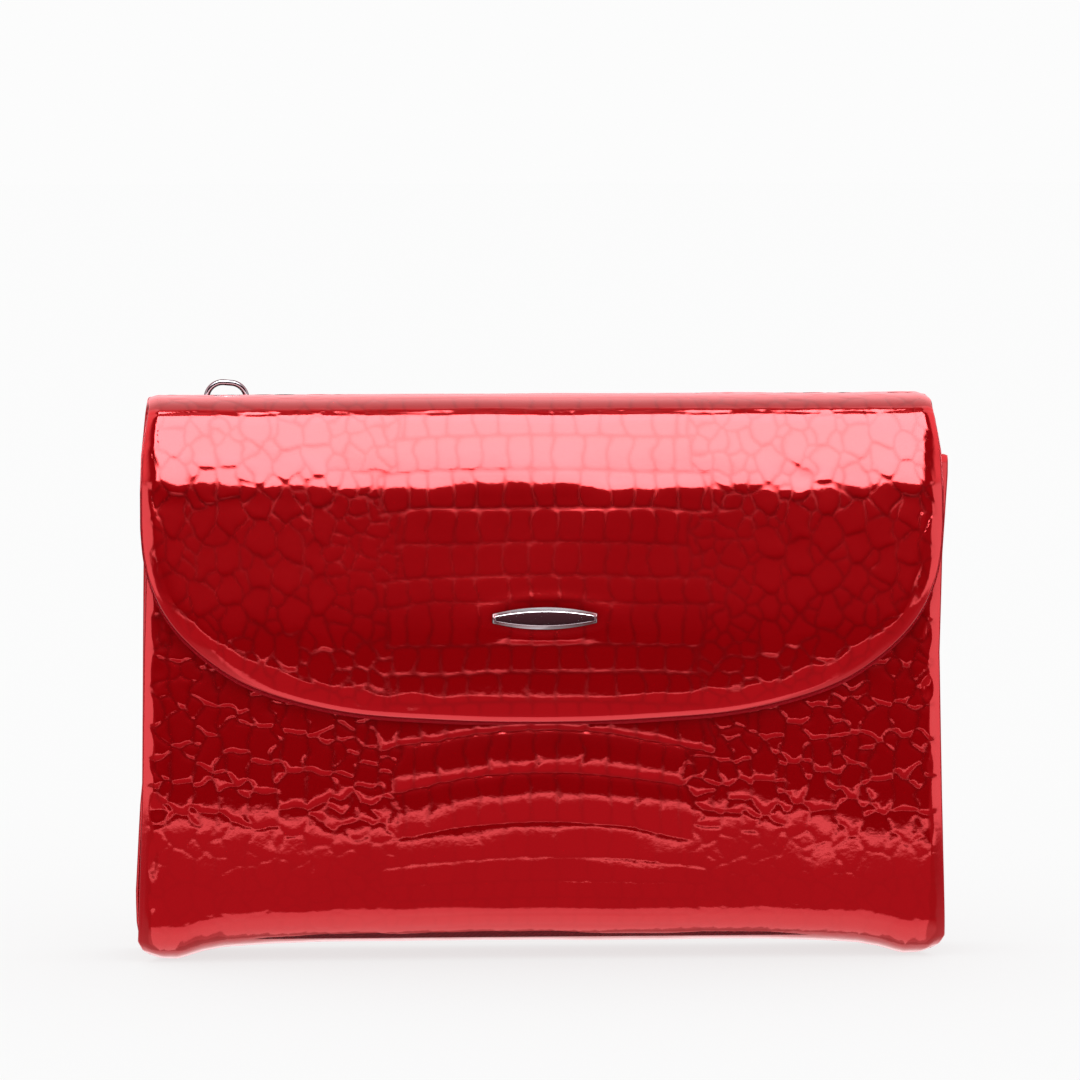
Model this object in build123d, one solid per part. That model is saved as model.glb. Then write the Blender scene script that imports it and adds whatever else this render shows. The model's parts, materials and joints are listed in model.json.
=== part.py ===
from build123d import *
import math
import os

# Small flap clutch: a back panel and base, a front panel, pleated side gussets, and a flap that
# passes over the top and closes on the front with a magnetic snap.
# Millimetres. X to the right, Y from front to back, Z up. The base rests on Z = 0 and the origin
# is the middle of the overall box.

# ---- driving dimensions ----------------------------------------------------------------------
Y_SHIFT = 3.27            # moves every finished piece along Y to centre the overall box
MOUTH_Z = 139.0           # top edge of the front panel
BACK_TOP_Z = 149.2        # top edge of the back panel
FRONT_BOTTOM_Z = 4.0
FRONT_FOOT_HALF = 107.6   # half widths of the panels at their lower corners
BACK_FOOT_HALF = 108.0
GUSSET_HALF = 108.2       # half width between the gussets' open edges
CUT_HALF = 113.0          # half width of the raw sheets, before they are cut to outline
GAP = 0.1                 # assembly gap between layers
SKIN_T = 1.2              # outer leather
BOARD_T = 0.9             # stiffener board
LINING_T = 0.5            # textile lining
BOARD_DEPTH = SKIN_T + GAP                     # depths are measured inwards from the outer face
BEHIND_BOARD = BOARD_DEPTH + BOARD_T + GAP
SNAP_Z = 95.5             # height of the magnetic snap and of the ornament
ZIP_Z = 118.0             # height of the inner zip

# Outer surfaces as (y, z), from the top down; the spine runs from back to front.
FRONT_OUTER = [
    (-14.5, 140.0), (-15.8, 128.0), (-17.0, 118.0), (-18.2, 105.0), (-19.3, 90.0), (-20.4, 72.0),
    (-21.2, 54.0), (-21.2, 38.0), (-20.5, 24.0), (-19.4, 12.0), (-17.8, 3.0),
]
BACK_OUTER = [
    (15.6, 151.0), (16.1, 138.0), (16.8, 120.0), (17.4, 95.0), (17.8, 65.0), (17.9, 40.0),
    (17.7, 18.0), (17.4, 0.5),
]
SPINE_OUTER = [
    (15.75, 150.6), (14.9, 152.6), (12.6, 154.3), (8.5, 155.3), (3.0, 155.7), (-3.0, 155.6),
    (-8.6, 154.95), (-10.4, 154.45),
]
FLAP_OUTER = [
    (-11.2, 154.1), (-13.4, 152.75), (-15.5, 150.0), (-17.5, 145.2), (-19.4, 138.0),
    (-21.4, 127.5), (-23.4, 113.5), (-25.0, 101.0), (-25.6, 92.0), (-25.5, 82.0), (-25.0, 74.0),
    (-24.4, 66.0),
]

# Right-hand side edges of the panels as (x, z), from the bottom up.
FRONT_SIDE = [(109.6, 12.0), (110.5, 30.0), (109.9, 60.0), (109.4, 85.0), (110.0, 112.0),
              (111.3, 134.0)]
BACK_SIDE = [(109.8, 12.0), (111.0, 40.0), (110.6, 80.0), (110.2, 120.0), (109.0, 140.0)]

# Right-hand half of the flap's outline as (x, z): the free edge from the middle outwards, then
# the side going up.
FLAP_EDGE = [
    (0, 67.3), (15, 67.5), (35, 68.5), (52, 70.0), (66, 72.8), (76, 75.8), (84, 79.3),
    (91.5, 84.2), (97.5, 89.4), (102, 94.6), (105.4, 100.2), (107.9, 106.5), (109.4, 113.5),
    (110.0, 121.0),
]
FLAP_SIDE = [(110.0, 130.0), (109.8, 140.0), (108.6, 149.0), (108.0, 154.0)]

# Arch of the lower edge, right-hand half, as (x, fraction of the full rise).
ARCH_RISE = 4.4
ARCH_END = 101.0
ARCH = [(0, 1.0), (22, 1.0), (45, 1.0), (62, 0.97), (76, 0.88), (88, 0.70), (94, 0.46),
        (98.5, 0.14), (ARCH_END, 0.0)]


# ---- profiles and cutting shapes -------------------------------------------------------------
def mirrored(points):
    """The same (x, z) points on the other side of X = 0, in reverse order."""
    return [(-x, z) for x, z in reversed(points)]


def yz_curve(points):
    return Edge.make_spline([Vector(0, y, z) for y, z in points])


def xz_line(start, end):
    return Edge.make_line(Vector(start[0], 0, start[1]), Vector(end[0], 0, end[1]))


def xz_spline(points):
    return Edge.make_spline([Vector(x, 0, z) for x, z in points])


def xz_arc(*points):
    return Edge.make_three_point_arc(*[Vector(x, 0, z) for x, z in points])


def xz_prism(edges, y_front=-60.0, y_back=60.0):
    face = Face(Wire(edges)).moved(Location((0, y_front, 0)))
    return Solid.extrude(face, Vector(0, y_back - y_front, 0))


def yz_slab(first, second, half):
    """The area between two splines in the YZ plane, extruded from -half to half along X."""
    face = Face(Wire([
        Edge.make_spline(first),
        Edge.make_line(first[-1], second[-1]),
        Edge.make_spline(second),
        Edge.make_line(second[0], first[0]),
    ]))
    return Solid.extrude(face.moved(Location((-half, 0, 0))), Vector(2 * half, 0, 0))


def offset_points(points, distance, steps=28):
    """Points on a curve drawn from the top down, moved by distance towards +Y."""
    edge = yz_curve(points)
    moved = []
    for i in range(steps + 1):
        place, tangent = edge.position_at(i / steps), edge.tangent_at(i / steps)
        moved.append(Vector(0, place.Y - tangent.Z * distance, place.Z + tangent.Y * distance))
    return moved


def layer(outer, depth, thickness, half=CUT_HALF, inward=1):
    """A sheet whose near face lies at a depth under an outer curve; inward is the sign of Y."""
    near = offset_points(outer, inward * depth)
    far = offset_points(outer, inward * (depth + thickness))
    return yz_slab(near, far, half)


def back_layer(depth, thickness):
    return layer(BACK_OUTER, depth, thickness, inward=-1)


def arch_points(base_z, limit=ARCH_END):
    """Arch stations from left to right, up to a limit in X."""
    right = [(x, base_z + ARCH_RISE * fraction) for x, fraction in ARCH if x <= limit]
    return mirrored(right[1:]) + right


def panel_prism(bottom, top, side, half_foot, inset=0.0):
    """Outline with an arched lower edge, sides through the side points, and a straight top."""
    foot = half_foot - inset
    low = arch_points(bottom, min(ARCH_END, foot - 1.0))
    right = [(foot, bottom)]
    right += [(x - inset, z) for x, z in side if bottom + 3.0 < z < top - 2.0]
    right.append((right[-1][0] - 0.6, top))
    left = mirrored(right)
    return xz_prism([
        xz_line(left[-1], low[0]),
        xz_spline(low),
        xz_line(low[-1], right[0]),
        xz_spline(right),
        xz_line(right[-1], left[0]),
        xz_spline(left),
    ])


def block(half, bottom, top, corner=0.0):
    """A cutting block through the whole depth, centred in X, with rounded corners in XZ."""
    box = Box(2 * half, 160, top - bottom).moved(Location((0, 0, (bottom + top) / 2)))
    if corner:
        box = fillet(box.edges().filter_by(Axis.Y), corner)
    return box


def disc(radius, bottom, top):
    return Pos(0, 0, (bottom + top) / 2) * Cylinder(radius, top - bottom)


def y_and_lean(outer, z):
    """Y of an outer curve at a height, and its lean from the vertical in degrees."""
    edge = yz_curve(outer)
    above, below = 0.0, 1.0
    for _ in range(40):
        middle = (above + below) / 2
        if edge.position_at(middle).Z > z:
            above = middle
        else:
            below = middle
    tangent = edge.tangent_at(above)
    return edge.position_at(above).Y, math.degrees(math.atan2(tangent.Y, -tangent.Z))


def wall_frame(outer, z):
    """Frame on an outer curve: local X along X, local Y up the wall, local Z towards the front."""
    y, lean = y_and_lean(outer, z)
    return Location((0, y, z), (90 + lean, 0, 0))


# ---- magnetic snap: shared shapes, drawn with Z out of the wall ------------------------------
SNAP_R = 7.0
SNAP_CLEAR_R = SNAP_R + 0.5    # hole in boards and foam around the snap
SLOT_TRIM_R = 9.0              # radius of the disc that limits the depth of the slots
PRONG_Y = 4.0
PRONG_W, PRONG_T = 3.0, 0.5
TAB_L, TAB_T = 2.4, 0.3        # bent-over end of a prong
WASHER_T = 0.45

SLOT = Box(PRONG_W + 0.5, PRONG_T + 0.4, 12)
SLOTS = Pos(0, PRONG_Y, 0) * SLOT + Pos(0, -PRONG_Y, 0) * SLOT


def with_prongs(body, prong_z, prong_height, tab_z):
    """Adds two prongs with tabs bent towards the middle; the heights are those of centres."""
    for s in (-1, 1):
        body += Pos(0, s * PRONG_Y, prong_z) * Box(PRONG_W, PRONG_T, prong_height)
        tab_y = PRONG_Y - (TAB_L - PRONG_T) / 2
        body += Pos(0, s * tab_y, tab_z) * Box(PRONG_W, TAB_L, TAB_T)
    return body


def snap_washer(bottom):
    return disc(SNAP_R, bottom, bottom + WASHER_T) - SLOTS


# ---- front panel, card pockets and snap socket -----------------------------------------------
FRONT_SNAP = wall_frame(FRONT_OUTER, SNAP_Z)
POCKET_T = 0.65
POCKET_COUNT = 3
POCKET_HALF, POCKET_BOTTOM_Z, POCKET_TOP_Z = 50.0, 30.0, 112.0
POCKET_STEP_Z = 15.0           # each pocket stands this much above the last
SOCKET_BOTTOM = 0.55           # underside of the socket's cap and magnet


def front_panel():
    outline = panel_prism(FRONT_BOTTOM_Z, MOUTH_Z, FRONT_SIDE, FRONT_FOOT_HALF)
    panel = layer(FRONT_OUTER, 0, SKIN_T) & outline
    return panel - FRONT_SNAP * (SLOTS & disc(SLOT_TRIM_R, -4, 2))


def front_board():
    outline = panel_prism(FRONT_BOTTOM_Z + 1.2, MOUTH_Z - 1.0, FRONT_SIDE, FRONT_FOOT_HALF, 6.0)
    board = layer(FRONT_OUTER, BOARD_DEPTH, BOARD_T) & outline
    return board - FRONT_SNAP * disc(SNAP_CLEAR_R, -5, 2)


def front_lining():
    outline = panel_prism(FRONT_BOTTOM_Z + 0.6, MOUTH_Z - 0.4, FRONT_SIDE, FRONT_FOOT_HALF, 5.2)
    return layer(FRONT_OUTER, BEHIND_BOARD, LINING_T) & outline


def card_pocket(index):
    """One of the stacked pockets inside the front; the last is the tallest and outermost."""
    steps_left = POCKET_COUNT - 1 - index
    depth = BEHIND_BOARD + LINING_T + GAP + (POCKET_T + GAP) * steps_left
    top = POCKET_TOP_Z - POCKET_STEP_Z * steps_left
    outline = block(POCKET_HALF - 0.6 * index, POCKET_BOTTOM_Z, top, 2.0)
    return layer(FRONT_OUTER, depth, POCKET_T, half=60) & outline


def snap_socket_cap():
    """A cup open towards the panel, with a hole in the middle."""
    shell = disc(SNAP_R, SOCKET_BOTTOM, 2.05)
    return FRONT_SNAP * (shell - disc(6.45, 0.5, 1.7) - disc(3.7, 0, 3))


def snap_magnet():
    return FRONT_SNAP * (disc(6.35, SOCKET_BOTTOM, 1.62) - disc(3.95, 0, 3))


def snap_socket_base():
    plate = disc(SNAP_R, 0.06, 0.5)
    return FRONT_SNAP * with_prongs(plate, prong_z=-1.0, prong_height=2.3, tab_z=-2.0)


def snap_socket_washer():
    return FRONT_SNAP * snap_washer(-1.75)


# ---- base ------------------------------------------------------------------------------------
BASE_BOARD_T = 1.0
BASE_BOARD_Z = SKIN_T + GAP
BASE_LINING_Z = BASE_BOARD_Z + BASE_BOARD_T + GAP


def arch_band(bottom, thickness, half, y_front, y_back):
    """A band along the arch: past its ends it runs on flat, otherwise it stops at the last
    station within half."""
    top = bottom + thickness
    low, high = arch_points(bottom, half), arch_points(top, half)
    if half < ARCH_END:
        edges = [
            xz_spline(low),
            xz_line(low[-1], high[-1]),
            xz_spline(high),
            xz_line(high[0], low[0]),
        ]
    else:
        edges = [
            xz_line((-half, bottom), low[0]),
            xz_spline(low),
            xz_line(low[-1], (half, bottom)),
            xz_line((half, bottom), (half, top)),
            xz_line((half, top), high[-1]),
            xz_spline(high),
            xz_line(high[0], (-half, top)),
            xz_line((-half, top), (-half, bottom)),
        ]
    return xz_prism(edges, y_front, y_back)


# ---- back panel, inner pocket and zip --------------------------------------------------------
ZIP_HALF = 66.0                # half length of the row of teeth
ZIP_PITCH = 2.2
TAPE_T = 0.4
TAPE_NEAR, TAPE_FAR = 1.8, 9.5           # a tape's edges, from the zip's centre line
BAG_HALF, BAG_BOTTOM_Z = 78.0, 32.0
BAG_LEAF_TOP_Z = 111.8         # top of the bag's leaf towards the inside of the clutch
BAG_SHEET_T = 0.3
BAG_SEAM = 1.2                 # width of the rim joining the two sheets
BAG_LEAF_DEPTH = 3.4
TAPE_DEPTH = BAG_LEAF_DEPTH + BAG_SHEET_T + GAP
BACK_LINING_DEPTH = TAPE_DEPTH + TAPE_T + GAP
TEETH_DEPTH = TAPE_DEPTH + TAPE_T / 2
TOOTH_L, TOOTH_H, TOOTH_T = 1.25, 1.1, 1.3
TOOTH_Y = 0.93                 # centre of a tooth above or below the zip's centre line
SLIDER_X = -57.5
PIN_DEPTH = 6.7                # pin on which the puller turns
ZIP = wall_frame(BACK_OUTER, ZIP_Z)
SLIDER_PIN = ZIP * Pos(SLIDER_X, 0, PIN_DEPTH)


def back_panel():
    outline = panel_prism(SKIN_T + GAP, BACK_TOP_Z, BACK_SIDE, BACK_FOOT_HALF)
    return back_layer(0, SKIN_T) & outline


def back_board():
    outline = panel_prism(3.4, BACK_TOP_Z - 3.0, BACK_SIDE, BACK_FOOT_HALF, 6.0)
    return back_layer(BOARD_DEPTH, BOARD_T) & outline


def back_lining():
    """Lining with a rounded window around the zip."""
    outline = panel_prism(3.6, BACK_TOP_Z - 1.6, BACK_SIDE, BACK_FOOT_HALF, 7.4)
    lining = back_layer(BACK_LINING_DEPTH, LINING_T) & outline
    return lining - block(ZIP_HALF + 3.5, ZIP_Z - 5, ZIP_Z + 5, 2.0)


def pocket_bag():
    """Two sheets joined along the sides and bottom; the rear one reaches above the zip."""
    rear_outline = block(BAG_HALF, BAG_BOTTOM_Z, ZIP_Z + TAPE_FAR, 3)
    leaf_outline = block(BAG_HALF, BAG_BOTTOM_Z, BAG_LEAF_TOP_Z, 3)
    hollow = block(BAG_HALF - BAG_SEAM, BAG_BOTTOM_Z + BAG_SEAM, 140, 2)
    rear = back_layer(BEHIND_BOARD, BAG_SHEET_T) & rear_outline
    leaf = back_layer(BAG_LEAF_DEPTH, BAG_SHEET_T) & leaf_outline
    bag_thickness = BAG_LEAF_DEPTH + BAG_SHEET_T - BEHIND_BOARD
    rim = back_layer(BEHIND_BOARD, bag_thickness) & (leaf_outline - hollow)
    return rear + leaf + rim


def zip_tape(side):
    bottom, top = sorted((ZIP_Z + side * TAPE_NEAR, ZIP_Z + side * TAPE_FAR))
    return back_layer(TAPE_DEPTH, TAPE_T) & block(ZIP_HALF + 7, bottom, top)


def zip_teeth(side):
    """One row of teeth; the upper and lower rows are staggered by half a pitch."""
    stagger = 0.75 if side > 0 else 0.25
    tooth = Box(TOOTH_L, TOOTH_H, TOOTH_T)
    teeth = []
    for i in range(int(2 * ZIP_HALF / ZIP_PITCH)):
        x = -ZIP_HALF + (i + stagger) * ZIP_PITCH
        teeth.append((ZIP * (Pos(x, side * TOOTH_Y, TEETH_DEPTH) * tooth)).solid())
    return Part() + teeth


def zip_end_stops():
    stop = Box(1.3, 2.8, TOOTH_T)
    stop_x = ZIP_HALF + 1.9
    return Part() + [(ZIP * (Pos(s * stop_x, 0, TEETH_DEPTH) * stop)).solid() for s in (-1, 1)]


def zip_slider():
    """Two plates joined by a wedge between the rows, with two ears holding a pin."""
    plate = Box(9.0, 6.6, 0.5)
    plate = fillet(plate.edges().filter_by(Axis.Z), 1.6)
    wedge = Box(2.6, 0.36, 2.0)
    slider = Pos(0, 0, 3.0) * plate + Pos(0, 0, 5.05) * plate + Pos(2.6, 0, TEETH_DEPTH) * wedge
    ear = Box(2.6, 0.8, 2.4)
    slider += Pos(0, 1.75, 6.4) * ear + Pos(0, -1.75, 6.4) * ear
    slider += Pos(0, 0, PIN_DEPTH) * Rot(90, 0, 0) * Cylinder(0.5, 4.0)
    return ZIP * (Pos(SLIDER_X, 0, 0) * slider)


def zip_puller():
    """A flat blade on an eye around the slider's pin, with a hole near its far end."""
    thickness = 1.1
    eye = Rot(90, 0, 0) * Cylinder(1.15, 2.4)
    blade = Box(13.5, 4.6, thickness)
    blade = Pos(8.6, 0, 0) * fillet(blade.edges().filter_by(Axis.Z), 2.0)
    neck = Pos(2.4, 0, 0) * Box(4.0, 2.4, thickness)
    puller = eye + neck + blade
    puller -= Rot(90, 0, 0) * Cylinder(0.57, 6.0)
    puller -= Pos(11.2, 0, 0) * Cylinder(1.1, 4.0)
    return SLIDER_PIN * puller


# ---- gussets: one inward pleat on each side --------------------------------------------------
PLEAT_DEPTH = 13.0
GUSSET_HALF_T = 0.45
GUSSET_CLEARANCE = 0.75        # from the panels' inner faces to the gusset's middle line
GUSSET_STATIONS = (6.6, 30.0, 60.0, 90.0, 115.0, 136.5)


def pleat_face(z, side):
    """V-shaped section of even thickness, with its point towards the middle of the bag."""
    front_y = y_and_lean(FRONT_OUTER, z)[0] + SKIN_T + GUSSET_CLEARANCE
    back_y = y_and_lean(BACK_OUTER, z)[0] - SKIN_T - GUSSET_CLEARANCE
    fold_y = (front_y + back_y) / 2
    fold_x = GUSSET_HALF - PLEAT_DEPTH
    half_width = (back_y - front_y) / 2
    leg_length = math.hypot(PLEAT_DEPTH, half_width)
    dx = GUSSET_HALF_T * half_width / leg_length
    dy = GUSSET_HALF_T * PLEAT_DEPTH / leg_length
    miter = GUSSET_HALF_T * leg_length / half_width
    points = [
        (GUSSET_HALF - dx, front_y - dy), (fold_x - miter, fold_y),
        (GUSSET_HALF - dx, back_y + dy), (GUSSET_HALF + dx, back_y - dy),
        (fold_x + miter, fold_y), (GUSSET_HALF + dx, front_y + dy),
    ]
    return Face(Wire.make_polygon([Vector(side * x, y, z) for x, y in points], close=True))


def gusset(side):
    return loft([pleat_face(z, side) for z in GUSSET_STATIONS], ruled=True)


# ---- flap, spine, snap stud and ornament -----------------------------------------------------
FLAP_SKIN_T = 1.0
FLAP_FOAM_T = 0.9
FLAP_BOARD_T = 0.6
FLAP_LINING_T = 0.4
FLAP_FOAM_DEPTH = FLAP_SKIN_T + GAP
FLAP_BOARD_DEPTH = FLAP_FOAM_DEPTH + FLAP_FOAM_T + GAP
FLAP_LINING_DEPTH = FLAP_BOARD_DEPTH + FLAP_BOARD_T + GAP
FLAP_INNER = -(FLAP_LINING_DEPTH + FLAP_LINING_T)    # inner face of the lining, in the flap frame
FLAP_CUT_TOP_Z = 160.0
SPINE_HALF = 108.0
SPINE_LINING_T = 0.8
FLAP_SNAP = wall_frame(FLAP_OUTER, SNAP_Z)

ORNAMENT_L, ORNAMENT_H = 28.8, 6.2
ORNAMENT_END_H = 2.6           # height of the plate at its blunt ends
ORNAMENT_BOTTOM, ORNAMENT_RIM_T, ORNAMENT_TOP = 0.08, 1.1, 2.7
POST_X, POST_R = 10.6, 0.75
CLIP_R = 2.2
CLIP_BOTTOM = -1.6


def flap_prism(inset):
    """The flap's outline, moved inwards."""
    right = [(0, FLAP_EDGE[0][1] + inset)]
    for i in range(1, len(FLAP_EDGE)):
        x, z = FLAP_EDGE[i]
        before, after = FLAP_EDGE[i - 1], FLAP_EDGE[min(len(FLAP_EDGE) - 1, i + 1)]
        dx, dz = after[0] - before[0], after[1] - before[1]
        length = math.hypot(dx, dz)
        right.append((x - dz / length * inset, z + dx / length * inset))
    right += [(x - inset, z) for x, z in FLAP_SIDE]
    outline = mirrored(right[1:]) + right
    top_left, top_right = (outline[0][0], FLAP_CUT_TOP_Z), (outline[-1][0], FLAP_CUT_TOP_Z)
    return xz_prism([
        xz_spline(outline),
        xz_line(outline[-1], top_right),
        xz_line(top_right, top_left),
        xz_line(top_left, outline[0]),
    ], y_back=0)


def post_pair(shape):
    """A shape repeated at the ornament's two posts."""
    return Pos(-POST_X, 0, 0) * shape + Pos(POST_X, 0, 0) * shape


def flap_leather():
    leather = layer(FLAP_OUTER, 0, FLAP_SKIN_T) & flap_prism(0)
    post_holes = post_pair(disc(POST_R + 0.2, -6, 3))
    return leather - FLAP_SNAP * (post_holes & disc(16, -1.6, 3))


def flap_foam():
    foam = layer(FLAP_OUTER[1:], FLAP_FOAM_DEPTH, FLAP_FOAM_T) & flap_prism(1.6)
    foam = foam - FLAP_SNAP * disc(SNAP_CLEAR_R, FLAP_INNER, FLAP_INNER + 1.75)
    return foam - FLAP_SNAP * post_pair(disc(CLIP_R + 0.4, -6, 3))


def flap_board():
    board = layer(FLAP_OUTER[2:], FLAP_BOARD_DEPTH, FLAP_BOARD_T) & flap_prism(5.0)
    return board - FLAP_SNAP * disc(SNAP_CLEAR_R, FLAP_INNER, 0.5)


def flap_lining():
    lining = layer(FLAP_OUTER[1:], FLAP_LINING_DEPTH, FLAP_LINING_T) & flap_prism(0.8)
    return lining - FLAP_SNAP * (SLOTS & disc(SLOT_TRIM_R, FLAP_INNER - 1, FLAP_INNER + 0.6))


def snap_stud():
    """A disc with a central stud facing the socket, and prongs into the flap."""
    stud = disc(6.6, FLAP_INNER - 1.1, FLAP_INNER - 0.22)
    stud = stud + disc(2.5, FLAP_INNER - 2.15, FLAP_INNER - 1.0)
    stud = with_prongs(stud, FLAP_INNER + 0.45, prong_height=1.6, tab_z=FLAP_INNER + 1.2)
    return FLAP_SNAP * stud


def snap_stud_washer():
    return FLAP_SNAP * snap_washer(FLAP_INNER + 0.5)


def boat_face(length, height, end_height, z):
    """Long outline with arched upper and lower edges and short straight ends."""
    x, y, end_y = length / 2, height / 2, end_height / 2
    return Face(Wire([
        Edge.make_three_point_arc(Vector(-x, end_y, z), Vector(0, y, z), Vector(x, end_y, z)),
        Edge.make_line(Vector(x, end_y, z), Vector(x, -end_y, z)),
        Edge.make_three_point_arc(Vector(x, -end_y, z), Vector(0, -y, z), Vector(-x, -end_y, z)),
        Edge.make_line(Vector(-x, -end_y, z), Vector(-x, end_y, z)),
    ]))


def ornament():
    """A boat-shaped plate with bevelled edges, on two posts."""
    size = (ORNAMENT_L, ORNAMENT_H, ORNAMENT_END_H)
    rim = Solid.extrude(boat_face(*size, ORNAMENT_BOTTOM), Vector(0, 0, ORNAMENT_RIM_T))
    bevel = loft([
        boat_face(*size, ORNAMENT_BOTTOM + ORNAMENT_RIM_T),
        boat_face(ORNAMENT_L - 1.6, ORNAMENT_H - 2.8, 0.9, ORNAMENT_TOP),
    ], ruled=True)
    plate = rim + bevel
    for s in (-1, 1):
        plate += Pos(s * POST_X, 0, 0) * disc(POST_R, -1.95, 0.5)
    return FLAP_SNAP * plate


def ornament_clips():
    """Push-on washers around the posts, behind the leather."""
    return FLAP_SNAP * post_pair(disc(CLIP_R, CLIP_BOTTOM, -1.12) - disc(POST_R + 0.05, -3, 0))


def spine_lining():
    depth = FLAP_SKIN_T + GAP
    return layer(SPINE_OUTER[2:-1], depth, SPINE_LINING_T, half=SPINE_HALF - 1.0)


# ---- wrist strap ring and its leather tab, at the left of the back ---------------------------
# The frame's origin is the middle of the ring's straight bar; the tilt is in the ring's plane.
RING = Location((-86.6, 19.9, 148.2), (0, 5.0, 0))
TAB_WIDTH = 8.4
# Two faces of the tab's leg as (y, z) in the ring's frame, from the top down.
LEG_BACK = [(0.9, -1.2), (-0.5, -4.0), (-1.55, -8.0), (-1.65, -18.5)]
LEG_FRONT = [(-1.6, -0.6), (-2.65, -4.0), (-3.35, -8.0), (-3.25, -18.5)]


def round_topped_plate(half, bottom, top, radius, depth):
    shoulder = top - radius
    flat = half - radius
    diagonal = 0.7071 * radius     # from a corner's centre to the middle of its arc
    mid_x, mid_z = flat + diagonal, shoulder + diagonal
    return xz_prism([
        xz_line((-half, shoulder), (-half, bottom)),
        xz_line((-half, bottom), (half, bottom)),
        xz_line((half, bottom), (half, shoulder)),
        xz_arc((half, shoulder), (mid_x, mid_z), (flat, top)),
        xz_line((flat, top), (-flat, top)),
        xz_arc((-flat, top), (-mid_x, mid_z), (-half, shoulder)),
    ], -depth / 2, depth / 2)


def wrist_ring():
    """A chamfered bow closed below by a round bar."""
    ring = round_topped_plate(6.4, -0.8, 10.5, 5.2, 2.0)
    ring = chamfer(ring.edges().filter_by(Plane.XZ), 0.35)
    ring = ring - round_topped_plate(4.75, -3.0, 9.2, 3.9, 5.0)
    ring = ring + Rot(0, 90, 0) * Cylinder(0.8, 11.6)
    return RING * ring


def ring_tab():
    """A loop around the ring's bar with a leg running down the back."""
    loop = Rot(0, 90, 0) * Cylinder(1.8, TAB_WIDTH)
    faces = [[Vector(0, y, z) for y, z in points] for points in (LEG_BACK, LEG_FRONT)]
    leg = yz_slab(*faces, TAB_WIDTH / 2)
    return RING * (loop + leg - Rot(0, 90, 0) * Cylinder(0.88, 12))


# ---- build and write -------------------------------------------------------------------------
def save(name, shape):
    """Writes the solids of a shape, without slivers, at their place in the overall box."""
    solids = [solid for solid in shape.solids() if solid.volume > 0.02]
    piece = solids[0] if len(solids) == 1 else Compound(children=solids)
    piece = piece.moved(Location((0, Y_SHIFT, 0)))
    export_step(piece, os.path.join("parts", name + ".step"))


os.makedirs("parts", exist_ok=True)
for build in (
    front_panel, front_board, front_lining,
    snap_socket_cap, snap_magnet, snap_socket_base, snap_socket_washer,
    back_panel, back_board, back_lining, pocket_bag, zip_end_stops, zip_slider, zip_puller,
    flap_leather, flap_foam, flap_board, flap_lining, snap_stud, snap_stud_washer,
    ornament, ornament_clips, spine_lining, wrist_ring, ring_tab,
):
    save(build.__name__, build())
for pocket in range(POCKET_COUNT):
    save(f"card_pocket_{pocket + 1}", card_pocket(pocket))
for word, side in (("upper", 1), ("lower", -1)):
    save(f"zip_tape_{word}", zip_tape(side))
    save(f"zip_teeth_{word}", zip_teeth(side))
for word, side in (("left", -1), ("right", 1)):
    save(f"gusset_{word}", gusset(side))
save("base_panel", arch_band(0.0, SKIN_T, 108.4, -15.8, 17.4))
save("base_board", arch_band(BASE_BOARD_Z, BASE_BOARD_T, 99.0, -13.4, 14.6))
save("base_lining", arch_band(BASE_LINING_Z, LINING_T, 99.5, -13.8, 12.6))
save("spine_leather", layer(SPINE_OUTER, 0, FLAP_SKIN_T, half=SPINE_HALF))
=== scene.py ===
import bpy
import bmesh
import json
import math
import numpy as np
from mathutils import Vector, Matrix

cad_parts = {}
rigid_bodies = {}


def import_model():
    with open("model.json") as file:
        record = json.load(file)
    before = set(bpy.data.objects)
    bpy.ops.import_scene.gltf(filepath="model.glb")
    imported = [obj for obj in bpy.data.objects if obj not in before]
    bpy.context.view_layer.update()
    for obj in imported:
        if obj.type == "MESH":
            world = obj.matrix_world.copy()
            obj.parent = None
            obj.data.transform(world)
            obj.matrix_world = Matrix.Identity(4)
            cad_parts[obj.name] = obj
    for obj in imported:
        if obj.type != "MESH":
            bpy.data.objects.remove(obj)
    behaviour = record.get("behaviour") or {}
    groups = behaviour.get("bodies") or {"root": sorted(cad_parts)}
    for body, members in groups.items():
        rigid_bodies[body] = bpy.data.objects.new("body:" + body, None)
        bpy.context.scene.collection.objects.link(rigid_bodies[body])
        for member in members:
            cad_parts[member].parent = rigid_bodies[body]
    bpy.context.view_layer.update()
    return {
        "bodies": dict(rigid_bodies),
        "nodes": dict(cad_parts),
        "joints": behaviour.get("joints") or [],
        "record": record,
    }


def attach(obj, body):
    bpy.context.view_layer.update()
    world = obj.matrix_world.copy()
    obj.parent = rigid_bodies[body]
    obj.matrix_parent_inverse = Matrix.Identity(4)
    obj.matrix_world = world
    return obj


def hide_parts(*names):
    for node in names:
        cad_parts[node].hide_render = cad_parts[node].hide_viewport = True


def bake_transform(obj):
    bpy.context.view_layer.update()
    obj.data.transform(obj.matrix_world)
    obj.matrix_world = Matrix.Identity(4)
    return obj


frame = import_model()
MM = 0.001
YS = 3.27                      # the CAD frame's shift along Y, millimetres
scene = bpy.context.scene
rng = np.random.default_rng(20261116)

# ------------------------------------------------------------------------------------------------------------------
# curves
# ------------------------------------------------------------------------------------------------------------------


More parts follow.
